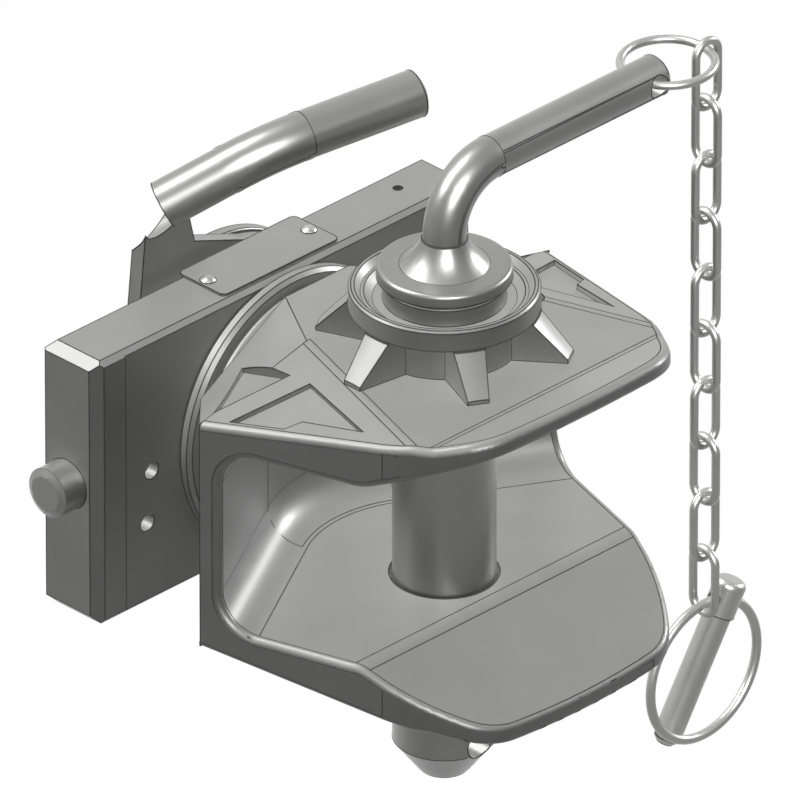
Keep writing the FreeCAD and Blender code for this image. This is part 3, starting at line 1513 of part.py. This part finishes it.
def lynch_pin():
    """The lynch pin behind its ring, with the ring through its head."""
    wire_ring("lynch_pin_ring", size.bail_radius, size.bail_wire_radius, chain_x, chain_y, bail_z, ALONG_MINUS_Y)
    pin = new_body("lynch_pin")
    tip = -size.lynch_length
    corners = (
        (0, tip),
        (size.lynch_radius - 3.5, tip),
        (size.lynch_radius - 1, tip + 2.5),
        (size.lynch_radius - 1, tip + 3.5),
        (size.lynch_radius - 2, tip + 3.5),
        (size.lynch_radius - 2, tip + 5.5),
        (size.lynch_radius, tip + 5.5),
        (size.lynch_radius, -size.lynch_collar_length),
        (size.lynch_head_radius, -size.lynch_collar_length),
        (size.lynch_head_radius, size.lynch_head_length - 4, 4, 1),
        (size.lynch_head_radius - 4, size.lynch_head_length),
        (0, size.lynch_head_length),
    )
    revolve(pin, outline_sketch(pin, "XZ_Plane", "LynchSection", corners))
    hole = size.bail_wire_radius + size.lynch_hole_gap
    cylinder(pin, hole, 4 * size.lynch_radius, x=-2 * size.lynch_radius, turn=ALONG_X)
    around = Rotation(Vector(0, 1, 0), size.lynch_tilt.value)
    behind = Rotation(Vector(1, 0, 0), size.lynch_lean.value)
    place(
        pin,
        chain_x + size.bail_radius * sine(size.lynch_tilt),
        chain_y,
        bail_z + size.bail_radius * cosine(size.lynch_tilt),
        around.multiply(behind),
    )


def is_broken(thing):
    """Whether a feature failed to build."""
    return any(state in ("Invalid", "Error") for state in thing.State)


def write_parts():
    """Check every object, then write each piece to its own file."""
    failed = [f"{t.Name} in {[o.Label for o in t.InList]}" for t in doc.Objects if is_broken(t)]
    if failed:
        raise RuntimeError("failed: " + "; ".join(failed))
    os.makedirs("parts", exist_ok=True)
    for label, thing in nodes.items():
        shape = thing.Shape
        if shape.isNull() or not shape.isValid() or not shape.Solids:
            raise RuntimeError(f"{label} has no sound shape")
        shape.exportStep(f"parts/{label}.step")


slide_plate()
swivel_bushes()
data_plate()
locking_bolts()
lever()
torsion_spring()
thrust_parts()
coupling_jaw()
pin_bushes()
star_collar()
coupling_pin()
wire_ring(
    "handle_ring", size.ring_radius, size.ring_wire_radius, ring_x, ring_y, size.handle_height, Rotation()
)
chain_links()
lynch_pin()
doc.recompute()
write_parts()
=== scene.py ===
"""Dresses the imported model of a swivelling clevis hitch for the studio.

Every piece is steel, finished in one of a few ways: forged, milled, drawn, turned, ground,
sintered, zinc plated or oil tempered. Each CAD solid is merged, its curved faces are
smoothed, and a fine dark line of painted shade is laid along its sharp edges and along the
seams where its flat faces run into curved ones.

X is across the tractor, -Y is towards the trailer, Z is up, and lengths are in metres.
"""

import json
import math

import bmesh
import bpy
import numpy as np
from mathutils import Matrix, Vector


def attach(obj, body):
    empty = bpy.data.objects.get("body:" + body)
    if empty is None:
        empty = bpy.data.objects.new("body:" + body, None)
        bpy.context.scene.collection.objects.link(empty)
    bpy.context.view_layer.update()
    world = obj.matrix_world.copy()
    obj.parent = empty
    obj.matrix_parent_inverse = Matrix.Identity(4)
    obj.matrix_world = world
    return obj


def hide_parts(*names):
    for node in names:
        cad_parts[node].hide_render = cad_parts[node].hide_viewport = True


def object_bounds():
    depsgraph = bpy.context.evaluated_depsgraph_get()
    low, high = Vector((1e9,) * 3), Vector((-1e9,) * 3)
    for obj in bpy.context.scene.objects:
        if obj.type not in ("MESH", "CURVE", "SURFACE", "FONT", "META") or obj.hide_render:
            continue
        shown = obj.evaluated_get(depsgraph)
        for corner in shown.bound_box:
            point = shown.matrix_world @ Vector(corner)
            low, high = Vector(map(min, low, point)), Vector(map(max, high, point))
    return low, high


bl_info = {
    "name": "Clevis hitch dresser",
    "version": (1, 0, 0),
    "blender": (4, 5, 0),
    "location": "3D View > Sidebar > Hitch",
    "description": "Gives the solids of a clevis hitch their finishes, edge lines and studio",
    "category": "Object",
}

MM = 0.001

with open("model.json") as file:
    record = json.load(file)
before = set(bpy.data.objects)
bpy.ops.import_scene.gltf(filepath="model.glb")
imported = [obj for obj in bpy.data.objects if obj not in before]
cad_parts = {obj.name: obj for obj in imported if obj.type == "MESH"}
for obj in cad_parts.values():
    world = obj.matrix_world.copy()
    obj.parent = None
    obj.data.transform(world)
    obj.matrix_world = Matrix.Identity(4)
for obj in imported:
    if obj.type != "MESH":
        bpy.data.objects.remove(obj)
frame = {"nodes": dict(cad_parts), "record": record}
CAD_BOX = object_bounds()
NODES = frame["nodes"]
RECORD = frame["record"]
BODY_OF = {node: body for body, members in RECORD["behaviour"]["bodies"].items() for node in members}
SLOT_OF = {part["node"]: part["material_slot"] for part in RECORD["subparts"]}


# Colours and materials


def linear(hex_colour, alpha=1.0):
    """An sRGB hex colour as linear red, green, blue and alpha."""
    parts = [int(hex_colour[i : i + 2], 16) / 255 for i in (1, 3, 5)]
    channels = [c / 12.92 if c <= 0.04045 else ((c + 0.055) / 1.055) ** 2.4 for c in parts]
    return (*channels, alpha)


def add_node(tree, kind, settings=None, links=None):
    """Add a shader node; settings are its properties or input values, links feed its inputs."""
    node = tree.nodes.new(kind)
    for name, value in (settings or {}).items():
        if isinstance(name, int) or name in node.inputs:
            node.inputs[name].default_value = value
        else:
            setattr(node, name, value)
    for name, source in (links or {}).items():
        tree.links.new(source, node.inputs[name])
    return node


def maths(tree, operation, *values):
    """A maths node on numbers or sockets, clamped to 0 and 1."""
    node = add_node(tree, "ShaderNodeMath", {"operation": operation, "use_clamp": True})
    for index, value in enumerate(values):
        if isinstance(value, (int, float)):
            node.inputs[index].default_value = value
        else:
            tree.links.new(value, node.inputs[index])
    return node.outputs[0]


# How fast the shade grows as the rounded normal turns from the true one
EDGE_GAIN = 9.0
# Size in mm of the slow patches that vary a finish's tone and gloss, as unevenly wiped oil does
PATCH_SIZE = 38
# A Wave node of scale 1 has one band in this many units
WAVE_PERIOD = 0.314
# Part of the bump height that comes from the rings of a turning tool
RING_SHARE = 0.5


def edge_shade(tree, width):
    """How near a sharp edge is: 0 on a flat face, up to 1 at the edge, over about the given width."""
    rounded = add_node(tree, "ShaderNodeBevel", {"samples": 6, "Radius": width})
    geometry = add_node(tree, "ShaderNodeNewGeometry")
    product = add_node(
        tree,
        "ShaderNodeVectorMath",
        {"operation": "DOT_PRODUCT"},
        {0: rounded.outputs["Normal"], 1: geometry.outputs["Normal"]},
    )
    drop = maths(tree, "SUBTRACT", 1.0, product.outputs["Value"])
    return maths(tree, "MULTIPLY", drop, EDGE_GAIN)


def steel(finish, light):
    """A steel finish: two tones over a slow noise, painted shade darkening its sharp edges, grain bump and
    its gloss.

    finish holds its name, the tones of its darker patches and of its painted edge shade,
    metallic, roughness and its spread, the grain and bump in mm, the width in mm of the painted
    edge shade, and the oil film as a thin coat. Turning is optional: the axis that the tool
    marks go round, and their pitch in mm. light is the colour of its lighter patches.
    """
    material = bpy.data.materials.new(finish["name"])
    material.use_nodes = True
    tree = material.node_tree
    tree.nodes.clear()
    place = add_node(tree, "ShaderNodeTexCoord").outputs["Object"]
    clouds = add_node(
        tree,
        "ShaderNodeTexNoise",
        {"Scale": 1 / (PATCH_SIZE * MM), "Detail": 4.0, "Roughness": 0.55},
        {"Vector": place},
    )
    tone = add_node(
        tree,
        "ShaderNodeMix",
        {"data_type": "RGBA", 6: linear(finish["dark"]), 7: light},
        {0: clouds.outputs["Fac"]},
    )
    # Painted shade: the colour darkens to the finish's edge tone near every sharp edge
    line = edge_shade(tree, finish["edge_mm"] * MM)
    colour = add_node(
        tree,
        "ShaderNodeMix",
        {"data_type": "RGBA", 7: linear(finish["edge"])},
        {0: line, 6: tone.outputs[2]},
    )
    grain = add_node(
        tree,
        "ShaderNodeTexNoise",
        {"Scale": 1 / (finish["grain"] * MM), "Detail": 3.0, "Roughness": 0.6},
        {"Vector": place},
    )
    height = grain.outputs["Fac"]
    if "turning" in finish:
        axis, pitch = finish["turning"]
        rings = add_node(
            tree,
            "ShaderNodeTexWave",
            {
                "wave_type": "BANDS",
                "bands_direction": axis,
                "Scale": WAVE_PERIOD / (pitch * MM),
                "Distortion": 0.4,
                "Detail": 1.0,
            },
            {"Vector": place},
        )
        height = maths(tree, "MULTIPLY_ADD", rings.outputs["Fac"], RING_SHARE, height)
    bump = add_node(
        tree,
        "ShaderNodeBump",
        {"Strength": 1.0, "Distance": finish["bump"] * MM},
        {"Height": height},
    )
    gloss = add_node(
        tree,
        "ShaderNodeMapRange",
        {
            "To Min": finish["roughness"] - finish["spread"],
            "To Max": finish["roughness"] + finish["spread"],
        },
        {"Value": clouds.outputs["Fac"]},
    )
    shader = add_node(
        tree,
        "ShaderNodeBsdfPrincipled",
        {
            "Metallic": finish["metallic"],
            "Coat Weight": finish["oil"],
            "Coat Roughness": 0.3,
            "Specular IOR Level": 0.3,
        },
        {
            "Base Color": colour.outputs[2],
            "Roughness": gloss.outputs["Result"],
            "Normal": bump.outputs["Normal"],
        },
    )
    add_node(tree, "ShaderNodeOutputMaterial", None, {"Surface": shader.outputs[0]})
    return material


# What each of the record's slots is in the workshop, and what lies along the edges. Tones and
# gloss are matched; a grain too fine to show is drawn as coarse as it needs to be
# Each finish's edge tone is painted shade at its sharp edges, and the edges entry colours the painted
# shade lines
FINISHES = {
    # Drop-forged steel, blasted: an even matt grey with a fine pitted grain
    "forged_steel": {
        "name": "Blasted forging steel", "dark": "#8C8C8B", "edge": "#2A2A2A",
        "metallic": 0.05, "roughness": 0.55, "spread": 0.05,
        "grain": 0.9, "bump": 0.05, "edge_mm": 0.9, "oil": 0.3,
    },
    # Milled mild steel with a thin phosphate coat: smoother, with faint cloudy patches
    "plate_steel": {
        "name": "Milled phosphated steel", "dark": "#8B8B8A", "edge": "#262626",
        "metallic": 0.05, "roughness": 0.5, "spread": 0.05,
        "grain": 0.5, "bump": 0.02, "edge_mm": 0.9, "oil": 0.3,
    },
    # Cold-drawn tube and bar: a close satin skin with a clear highlight along its length
    "tube_steel": {
        "name": "Cold drawn bar steel", "dark": "#848483", "edge": "#242424",
        "metallic": 0.3, "roughness": 0.36, "spread": 0.04,
        "grain": 0.4, "bump": 0.01, "edge_mm": 0.8, "oil": 0.5,
    },
    # Turned steel: fine tool rings round the axis, which stretch the highlight
    "turned_steel": {
        "name": "Turned shaft steel", "dark": "#7E7E7D", "edge": "#232323",
        "metallic": 0.3, "roughness": 0.38, "spread": 0.04,
        "grain": 0.4, "bump": 0.012, "edge_mm": 0.8, "oil": 0.5,
        "turning": ("Z", 0.8),
    },
    # Case-hardened and ground steel: a dark and close surface
    "hardened_steel": {
        "name": "Ground hardened steel", "dark": "#636362", "edge": "#202020",
        "metallic": 0.4, "roughness": 0.33, "spread": 0.03,
        "grain": 0.3, "bump": 0.008, "edge_mm": 0.6, "oil": 0.4,
    },
    # Sintered steel soaked in oil: the darkest, with a soft sheen
    "bush_steel": {
        "name": "Sintered bush steel", "dark": "#5E5E5D", "edge": "#202020",
        "metallic": 0.5, "roughness": 0.45, "spread": 0.04,
        "grain": 0.4, "bump": 0.02, "edge_mm": 0.6, "oil": 0.4,
    },
    # Zinc-plated wire and small turned parts: the brightest, with soft reflections
    "bright_steel": {
        "name": "Zinc plated wire steel", "dark": "#A2A2A1", "edge": "#2E2E2E",
        "metallic": 0.4, "roughness": 0.34, "spread": 0.05,
        "grain": 0.5, "bump": 0.006, "edge_mm": 0.5, "oil": 0.3,
    },
    # Oil-tempered spring wire: nearly black
    "spring_steel": {
        "name": "Oil tempered spring wire", "dark": "#303032", "edge": "#161616",
        "metallic": 0.5, "roughness": 0.4, "spread": 0.04,
        "grain": 0.5, "bump": 0.006, "edge_mm": 0.4, "oil": 0.5,
    },
    # Painted shade: dark lines along sharp edges and seams that outline the parts, nearly black and matt
    "edges": {
        "name": "Painted shade lines", "dark": "#1E1E1E", "edge": "#161616",
        "metallic": 0.1, "roughness": 0.6, "spread": 0.03,
        "grain": 0.5, "bump": 0.002, "edge_mm": 0.2, "oil": 0.0,
    },
}
# The materials by finish, made when the first piece needs them
MATERIALS = {}


# Meshes


def finish_piece(obj, body, finish):
    """Give a new piece its finish and its slot, and let it ride on its body."""
    if not MATERIALS:
        tones = bpy.context.scene.hitch_steel
        MATERIALS.update({key: steel(recipe, getattr(tones, key)) for key, recipe in FINISHES.items()})
    obj.data.materials.clear()
    obj.data.materials.append(MATERIALS[finish])
    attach(obj, body)


def mesh_object(name, points, faces):
    """A mesh object from an array of points and lists of corners."""
    mesh = bpy.data.meshes.new(name)
    mesh.from_pydata(points.tolist(), [], faces)
    mesh.update()
    obj = bpy.data.objects.new(name, mesh)
    bpy.context.scene.collection.objects.link(obj)
    return obj


# Vertices of a CAD node closer than this many millimetres are one
MERGE_GAP = 0.004
# Two facets belong to one flat face when they turn less than this many degrees
FLAT_TURN = 0.3
# A seam runs where a face of at least this many square millimetres meets one this many times smaller
SEAM_AREA = 60.0
SEAM_RATIO = 8.0
# An edge gets a line where a face of at least this many square millimetres ends
LINE_AREA = 3.0
# Sides of the rod that a line is, and how far it runs on past each end, as a share of its radius
ROD_SIDES = 6
ROD_OVERRUN = 0.3


def flat_regions(shape):
    """Which flat region each facet belongs to, and each region's area in square metres."""
    turn = math.cos(math.radians(FLAT_TURN))
    region = [-1] * len(shape.faces)
    areas = []
    for first in shape.faces:
        if region[first.index] >= 0:
            continue
        number, total, queue = len(areas), 0.0, [first]
        region[first.index] = number
        while queue:
            face = queue.pop()
            total += face.calc_area()
            for edge in face.edges:
                for other in edge.link_faces:
                    if region[other.index] < 0 and face.normal.dot(other.normal) > turn:
                        region[other.index] = number
                        queue.append(other)
        areas.append(total)
    return region, areas


def sharp_and_seams(shape, sharp_angle, seam_ratio):
    """Mark the sharp edges, and list each line's two ends, its outward way, its radius and its depth."""
    setting = bpy.context.scene.hitch_steel
    shape.faces.ensure_lookup_table()
    region, areas = flat_regions(shape)
    lines = []
    for edge in shape.edges:
        if len(edge.link_faces) != 2:
            continue
        one, two = edge.link_faces
        if region[one.index] == region[two.index]:
            continue
        edge.smooth = one.normal.angle(two.normal, 0.0) < sharp_angle
        small, large = sorted((areas[region[one.index]], areas[region[two.index]]))
        seam = large > SEAM_AREA * MM * MM and large > seam_ratio * small
        if seam or (not edge.smooth and large > LINE_AREA * MM * MM):
            start, end = (vert.co for vert in edge.verts)
            out = (one.normal + two.normal).normalized()
            sink = setting.seam_sink if edge.smooth else setting.edge_sink
            lines.append((*start, *end, *out, setting.line_radius, sink))
    return np.array(lines).reshape(-1, 11)


def edge_lines(name, lines):
    """Thin six-sided rods along edges and seams, mostly sunk in the surface, painted shade lines in a dark
    finish.

    Each rod's points are its end plus the radius times (cos t, sin t) in the plane of
    the outward way and the side way, which is the rod's own way crossed with it.
    """
    start, end, out = lines[:, 0:3], lines[:, 3:6], lines[:, 6:9]
    radius, depth = lines[:, 9, None], lines[:, 10, None]
    along = end - start
    along /= np.linalg.norm(along, axis=1, keepdims=True)
    side = np.cross(along, out)
    turns = np.arange(ROD_SIDES) * math.tau / ROD_SIDES
    ring = out[:, None] * np.cos(turns)[None, :, None] + side[:, None] * np.sin(turns)[None, :, None]
    ring = ring * radius[:, None] - (out * depth)[:, None]
    reach = along * radius * ROD_OVERRUN
    points = np.concatenate([(start - reach)[:, None] + ring, (end + reach)[:, None] + ring], axis=1)
    first = np.arange(len(lines))[:, None, None] * 2 * ROD_SIDES
    here = np.arange(ROD_SIDES)
    after = (here + 1) % ROD_SIDES
    quads = first + np.stack([here, after, ROD_SIDES + after, ROD_SIDES + here], axis=1)
    caps = first + np.stack([here[::-1], ROD_SIDES + here])
    faces = quads.reshape(-1, 4).tolist() + caps.reshape(-1, ROD_SIDES).tolist()
    return mesh_object(name, points.reshape(-1, 3), faces)


def dressed_copy(node, name, seam_ratio, sharp_angle):
    """Put a merged copy in a CAD node's place: flat faces stay flat, and curved ones are smooth.

    Edges where two faces meet at more than sharp_angle are sharp and get a thin dark line of painted
    shade.
    So do seams, where a flat face runs into facets that are seam_ratio times smaller, as a
    curve's are. Weighted Normal keeps the flat faces flat beside the curved ones.
    """
    body, slot = BODY_OF[node], SLOT_OF[node]
    source = NODES[node]
    mesh = source.data.copy()
    mesh.name = name
    shape = bmesh.new()
    shape.from_mesh(mesh)
    bmesh.ops.remove_doubles(shape, verts=shape.verts, dist=MERGE_GAP * MM)
    for face in shape.faces:
        face.smooth = True
    lines = sharp_and_seams(shape, sharp_angle, seam_ratio)
    shape.to_mesh(mesh)
    shape.free()
    obj = bpy.data.objects.new(name, mesh)
    bpy.context.scene.collection.objects.link(obj)
    weighted = obj.modifiers.new("FlatFaces", "WEIGHTED_NORMAL")
    weighted.mode = "FACE_AREA"
    weighted.weight = 100
    weighted.keep_sharp = True
    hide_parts(node)
    finish_piece(obj, body, slot)
    if len(lines) and node not in SLIDING:
        # Painted shade: dark rods along the sharp edges and seams
        finish_piece(edge_lines(name + "Lines", lines), body, "edges")


# Pieces that slide in close bores, so no line stands proud of them
SLIDING = ("left_locking_bolt", "right_locking_bolt")

# Each node's piece, its seam ratio, and from what angle in degrees an edge counts as sharp
NO_SEAMS = 1e9
DRESSING = {
    "slide_plate": ("SlideBlock", NO_SEAMS, 28),
    "front_swivel_bush": ("FrontSwivelBush", NO_SEAMS, 30),
    "rear_swivel_bush": ("RearSwivelBush", NO_SEAMS, 30),
    "data_plate": ("BareDataPlate", NO_SEAMS, 30),
    "data_plate_rivets": ("DataPlateRivets", NO_SEAMS, 35),
    "lever_spring": ("LeverSpring", NO_SEAMS, 60),
    "coupling_jaw": ("ForgedJaw", SEAM_RATIO, 20),
    "star_collar": ("StarCollar", NO_SEAMS, 24),
    "upper_pin_bush": ("UpperPinBush", NO_SEAMS, 30),
    "lower_pin_bush": ("LowerPinBush", NO_SEAMS, 30),
    "thrust_disc": ("ThrustDisc", NO_SEAMS, 30),
    "castle_nut": ("CastleNut", NO_SEAMS, 25),
    "split_pin": ("SplitPin", NO_SEAMS, 40),
    "lever_plate": ("LeverPlate", NO_SEAMS, 28),
    "lever_tube": ("LeverTube", SEAM_RATIO, 40),
    "lever_tube_plug": ("LeverTubePlug", NO_SEAMS, 35),
    "left_locking_bolt": ("LeftLockingBolt", NO_SEAMS, 28),
    "right_locking_bolt": ("RightLockingBolt", NO_SEAMS, 28),
    "left_cam_stud": ("LeftCamStud", NO_SEAMS, 30),
    "right_cam_stud": ("RightCamStud", NO_SEAMS, 30),
    "coupling_pin": ("CouplingPin", NO_SEAMS, 30),
    "pin_handle": ("PinHandle", SEAM_RATIO, 32),
    "handle_ring": ("HandleRing", NO_SEAMS, 60),
    "lynch_pin_ring": ("LynchPinRing", NO_SEAMS, 60),
    "lynch_pin": ("LynchPin", NO_SEAMS, 30),
}


# Settings and operators


def light_tone(name, hex_colour):
    """A colour setting: the lighter patches of one steel."""
    return bpy.props.FloatVectorProperty(
        name=name,
        description="Colour of the lighter patches of this steel",
        default=linear(hex_colour),
        size=4,
        subtype="COLOR",
    )


class HitchSteel(bpy.types.PropertyGroup):
    """The colours of the steels, and the dark lines along edges and seams."""

    forged_steel: light_tone("Forging", "#999998")
    plate_steel: light_tone("Milled plate", "#969695")
    tube_steel: light_tone("Drawn bar and tube", "#8E8E8D")
    turned_steel: light_tone("Turned shaft", "#8A8A89")
    hardened_steel: light_tone("Ground bolts", "#6F6F6E")
    bush_steel: light_tone("Bushes", "#6A6A69")
    bright_steel: light_tone("Zinc plated wire", "#B4B4B3")
    spring_steel: light_tone("Spring wire", "#3A3A3C")
    # Painted shade: the colour of the dark lines along edges and seams
    edges: light_tone("Edge lines", "#262625")
    line_radius: bpy.props.FloatProperty(
        name="Line radius", description="Radius of a line's rod", default=0.42 * MM, unit="LENGTH"
    )
    edge_sink: bpy.props.FloatProperty(
        name="Edge depth",
        description="How far a rod's middle lies under an edge",
        default=0.26 * MM,
        unit="LENGTH",
    )
    seam_sink: bpy.props.FloatProperty(
        name="Seam depth",
        description="How far a rod's middle lies under a seam",
        default=0.16 * MM,
        unit="LENGTH",
    )


class HitchLook(bpy.types.PropertyGroup):
    """How the hitch is seen."""

    lens: bpy.props.FloatProperty(
        name="Lens",
        description="Focal length; very long, so the picture is nearly parallel",
        default=1500.0,
        unit="CAMERA",
    )
    frame_width: bpy.props.FloatProperty(
        name="Picture width",
        description="What the picture spans at the hitch",
        default=0.4494,
        unit="LENGTH",
    )
    aim: bpy.props.FloatVectorProperty(
        name="Aim",
        description="The point in the middle of the picture",
        default=(0.0337, -0.0796, 0.0114),
        subtype="XYZ",
    )
    floor_drop: bpy.props.FloatProperty(
        name="Floor drop", description="Floor below the lowest piece", default=0.06, unit="LENGTH"
    )
    floor_colour: bpy.props.FloatVectorProperty(
        name="Floor",
        description="Colour of the floor and backdrop",
        default=(0.93, 0.93, 0.93),
        subtype="COLOR",
    )


class HITCH_OT_stage(bpy.types.Operator):
    """Set up the camera, the lamps, the world and the floor"""

    bl_idname = "hitch.stage"
    bl_label = "Studio"

    def execute(self, context):
        """Aim the camera from the front left and above, and light the hitch from above and behind."""
        look = context.scene.hitch_look
        make_camera(context, look)
        make_lights(context)
        make_world(context)
        make_floor(context, look)
        context.scene.view_settings.view_transform = "Standard"
        return {"FINISHED"}


# Where the camera stands, in degrees: round from the towing side, and above the level
AZIMUTH = -45
ELEVATION = 30


def make_camera(context, look):
    """A long camera to the left of the towing side and above it."""
    azimuth, elevation = math.radians(AZIMUTH), math.radians(ELEVATION)
    out = Vector(
        (
            math.sin(azimuth) * math.cos(elevation),
            -math.cos(azimuth) * math.cos(elevation),
            math.sin(elevation),
        )
    )
    data = bpy.data.cameras.new("PictureCamera")
    data.type = "PERSP"
    data.sensor_width = 36.0
    data.lens = look.lens
    distance = look.lens * look.frame_width / data.sensor_width
    data.clip_start = 0.1
    data.clip_end = distance * 2
    camera = bpy.data.objects.new("PictureCamera", data)
    context.scene.collection.objects.link(camera)
    camera.location = Vector(look.aim) + out * distance
    camera.rotation_euler = out.to_track_quat("Z", "Y").to_euler()
    context.scene.camera = camera


# Each lamp: name, direction towards it, irradiance, width of its glow in degrees,
# whether it casts shadows, and whether it lights matt surfaces or only shows as a glint
LAMPS = (
    ("OverheadKey", (-0.17, 0.42, 0.88), 3.3, 14.0, False, True),
    ("OverheadSoftbox", (-0.10, 0.20, 0.97), 0.2, 40.0, True, True),
    ("RearGlint", (-0.52, 0.52, 0.62), 4.5, 24.0, False, False),
    ("RightGlint", (0.93, -0.20, 0.32), 4.5, 14.0, False, False),
    ("FrontGlint", (-0.50, -0.68, 0.50), 8.0, 30.0, False, False),
)


# How far off in metres the lamps stand, which a sun's light doesn't depend on
LAMP_REACH = 2.0


def make_lights(context):
    """A key lamp from above and behind, a soft one that shades the floor, and three for glints."""
    for name, direction, strength, glow, shades, matt in LAMPS:
        data = bpy.data.lights.new(name, "SUN")
        data.energy = strength
        data.angle = math.radians(glow)
        data.use_shadow = shades
        lamp = bpy.data.objects.new(name, data)
        context.scene.collection.objects.link(lamp)
        lamp.visible_diffuse = matt
        way = Vector(direction).normalized()
        lamp.location = way * LAMP_REACH
        lamp.rotation_euler = way.to_track_quat("Z", "Y").to_euler()


def seen_directly(tree):
    """1 for rays of the camera, of reflections and through glass, and 0 for those that light things."""
    rays = add_node(tree, "ShaderNodeLightPath").outputs
    mirrored = maths(tree, "MAXIMUM", rays["Is Glossy Ray"], rays["Is Transmission Ray"])
    return maths(tree, "MAXIMUM", rays["Is Camera Ray"], mirrored)


# Strength of the surround as light, where the white that is seen is 1
SKY_LIGHT = 0.05
# What the floor throws back at the hitch, its share of plain white where it is seen, and its form
FLOOR_BOUNCE = "#484848"
WHITE_SHARE = 0.8
FLOOR_RADIUS = 6
FLOOR_SIDES = 128


def make_world(context):
    """A white surround for the camera and for reflections, and a weak one as light."""
    world = bpy.data.worlds.new("StudioWorld")
    world.use_nodes = True
    tree = world.node_tree
    tree.nodes.clear()
    seen = seen_directly(tree)
    dim = add_node(tree, "ShaderNodeBackground", {"Color": linear("#FFFFFF"), "Strength": SKY_LIGHT})
    white = add_node(tree, "ShaderNodeBackground", {"Color": linear("#FFFFFF"), "Strength": 1.0})
    both = add_node(tree, "ShaderNodeMixShader", None, {0: seen, 1: dim.outputs[0], 2: white.outputs[0]})
    add_node(tree, "ShaderNodeOutputWorld", None, {"Surface": both.outputs[0]})
    context.scene.world = world


def make_floor(context, look):
    """A round pale floor under the hitch: points (r cos t, r sin t, height) round its rim."""
    height = CAD_BOX[0][2] - look.floor_drop
    turns = np.linspace(0, 2 * math.pi, FLOOR_SIDES, endpoint=False)
    rim = FLOOR_RADIUS * np.stack([np.cos(turns), np.sin(turns)], axis=1)
    points = np.column_stack([rim, np.full(FLOOR_SIDES, height)])
    floor = mesh_object("StudioFloor", points, [list(range(FLOOR_SIDES))])
    material = bpy.data.materials.new("Studio floor paper")
    material.use_nodes = True
    tree = material.node_tree
    tree.nodes.clear()
    seen = seen_directly(tree)
    tone = add_node(
        tree,
        "ShaderNodeMix",
        {"data_type": "RGBA", 6: linear(FLOOR_BOUNCE), 7: (*look.floor_colour, 1.0)},
        {0: seen},
    )
    matt = add_node(tree, "ShaderNodeBsdfDiffuse", None, {"Color": tone.outputs[2]})
    white = add_node(tree, "ShaderNodeEmission", {"Color": linear("#FFFFFF"), "Strength": 1.0})
    share = maths(tree, "MULTIPLY", seen, WHITE_SHARE)
    both = add_node(tree, "ShaderNodeMixShader", None, {0: share, 1: matt.outputs[0], 2: white.outputs[0]})
    add_node(tree, "ShaderNodeOutputMaterial", None, {"Surface": both.outputs[0]})
    floor.data.materials.append(material)


def dress(*bodies):
    """Dress every CAD node of the given bodies; a chain link takes its number from its node."""
    for body in bodies:
        for node in RECORD["behaviour"]["bodies"][body]:
            name, ratio, angle = DRESSING.get(node, ("ChainLink" + node[-2:], NO_SEAMS, 60))
            dressed_copy(node, name, ratio, math.radians(angle))


class HITCH_OT_slide_block(bpy.types.Operator):
    """Dress the slide plate, its bushes, its data plate and the lever's spring"""

    bl_idname = "hitch.slide_block"
    bl_label = "Slide block"

    def execute(self, context):
        """Dress every node of the slide block."""
        dress("slide_block")
        return {"FINISHED"}


class HITCH_OT_jaw(bpy.types.Operator):
    """Dress the forged jaw, its collar, bushes, thrust disc and nut"""

    bl_idname = "hitch.jaw"
    bl_label = "Jaw"

    def execute(self, context):
        """Dress every node that turns with the jaw."""
        dress("jaw")
        return {"FINISHED"}


class HITCH_OT_lever(bpy.types.Operator):
    """Dress the release lever and the bolts that it draws"""

    bl_idname = "hitch.lever"
    bl_label = "Lever and bolts"

    def execute(self, context):
        """Dress the lever and both locking bolts."""
        dress("lever", "left_bolt", "right_bolt")
        return {"FINISHED"}


class HITCH_OT_pin(bpy.types.Operator):
    """Dress the coupling pin and its handle"""

    bl_idname = "hitch.pin"
    bl_label = "Coupling pin"

    def execute(self, context):
        """Dress the pin and the bent rod on it."""
        dress("pin")
        return {"FINISHED"}


class HITCH_OT_chain(bpy.types.Operator):
    """Dress the ring, the chain and the lynch pin"""

    bl_idname = "hitch.chain"
    bl_label = "Chain and lynch pin"

    def execute(self, context):
        """Dress each loose piece from the handle ring down."""
        links = sorted(body for body in RECORD["behaviour"]["bodies"] if body.startswith("link_"))
        dress("ring", *links, "bail", "lynch")
        return {"FINISHED"}


class HITCH_PT_panel(bpy.types.Panel):
    """The steps that dress the hitch, in order"""

    bl_label = "Clevis hitch"
    bl_idname = "HITCH_PT_panel"
    bl_space_type = "VIEW_3D"
    bl_region_type = "UI"
    bl_category = "Hitch"

    def draw(self, context):
        """List the settings and a button for each step."""
        for group in (context.scene.hitch_look, context.scene.hitch_steel):
            for name in type(group).__annotations__:
                self.layout.prop(group, name)
        for step in STEPS:
            self.layout.operator(step.bl_idname)


STEPS = (
    HITCH_OT_stage,
    HITCH_OT_slide_block,
    HITCH_OT_jaw,
    HITCH_OT_lever,
    HITCH_OT_pin,
    HITCH_OT_chain,
)


def register():
    """Register the settings, the steps and the panel."""
    for cls in (HitchLook, HitchSteel, *STEPS, HITCH_PT_panel):
        bpy.utils.register_class(cls)
    bpy.types.Scene.hitch_steel = bpy.props.PointerProperty(type=HitchSteel)
    bpy.types.Scene.hitch_look = bpy.props.PointerProperty(type=HitchLook)


def unregister():
    """Take them away again."""
    del bpy.types.Scene.hitch_look
    del bpy.types.Scene.hitch_steel
    for cls in (HITCH_PT_panel, *reversed(STEPS), HitchSteel, HitchLook):
        bpy.utils.unregister_class(cls)


def main():
    """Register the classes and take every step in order."""
    register()
    for step in STEPS:
        group, action = step.bl_idname.split(".")
        result = getattr(getattr(bpy.ops, group), action)()
        if "FINISHED" not in result:
            raise RuntimeError(f"{step.bl_label} did not finish")


if __name__ == "__main__":
    main()
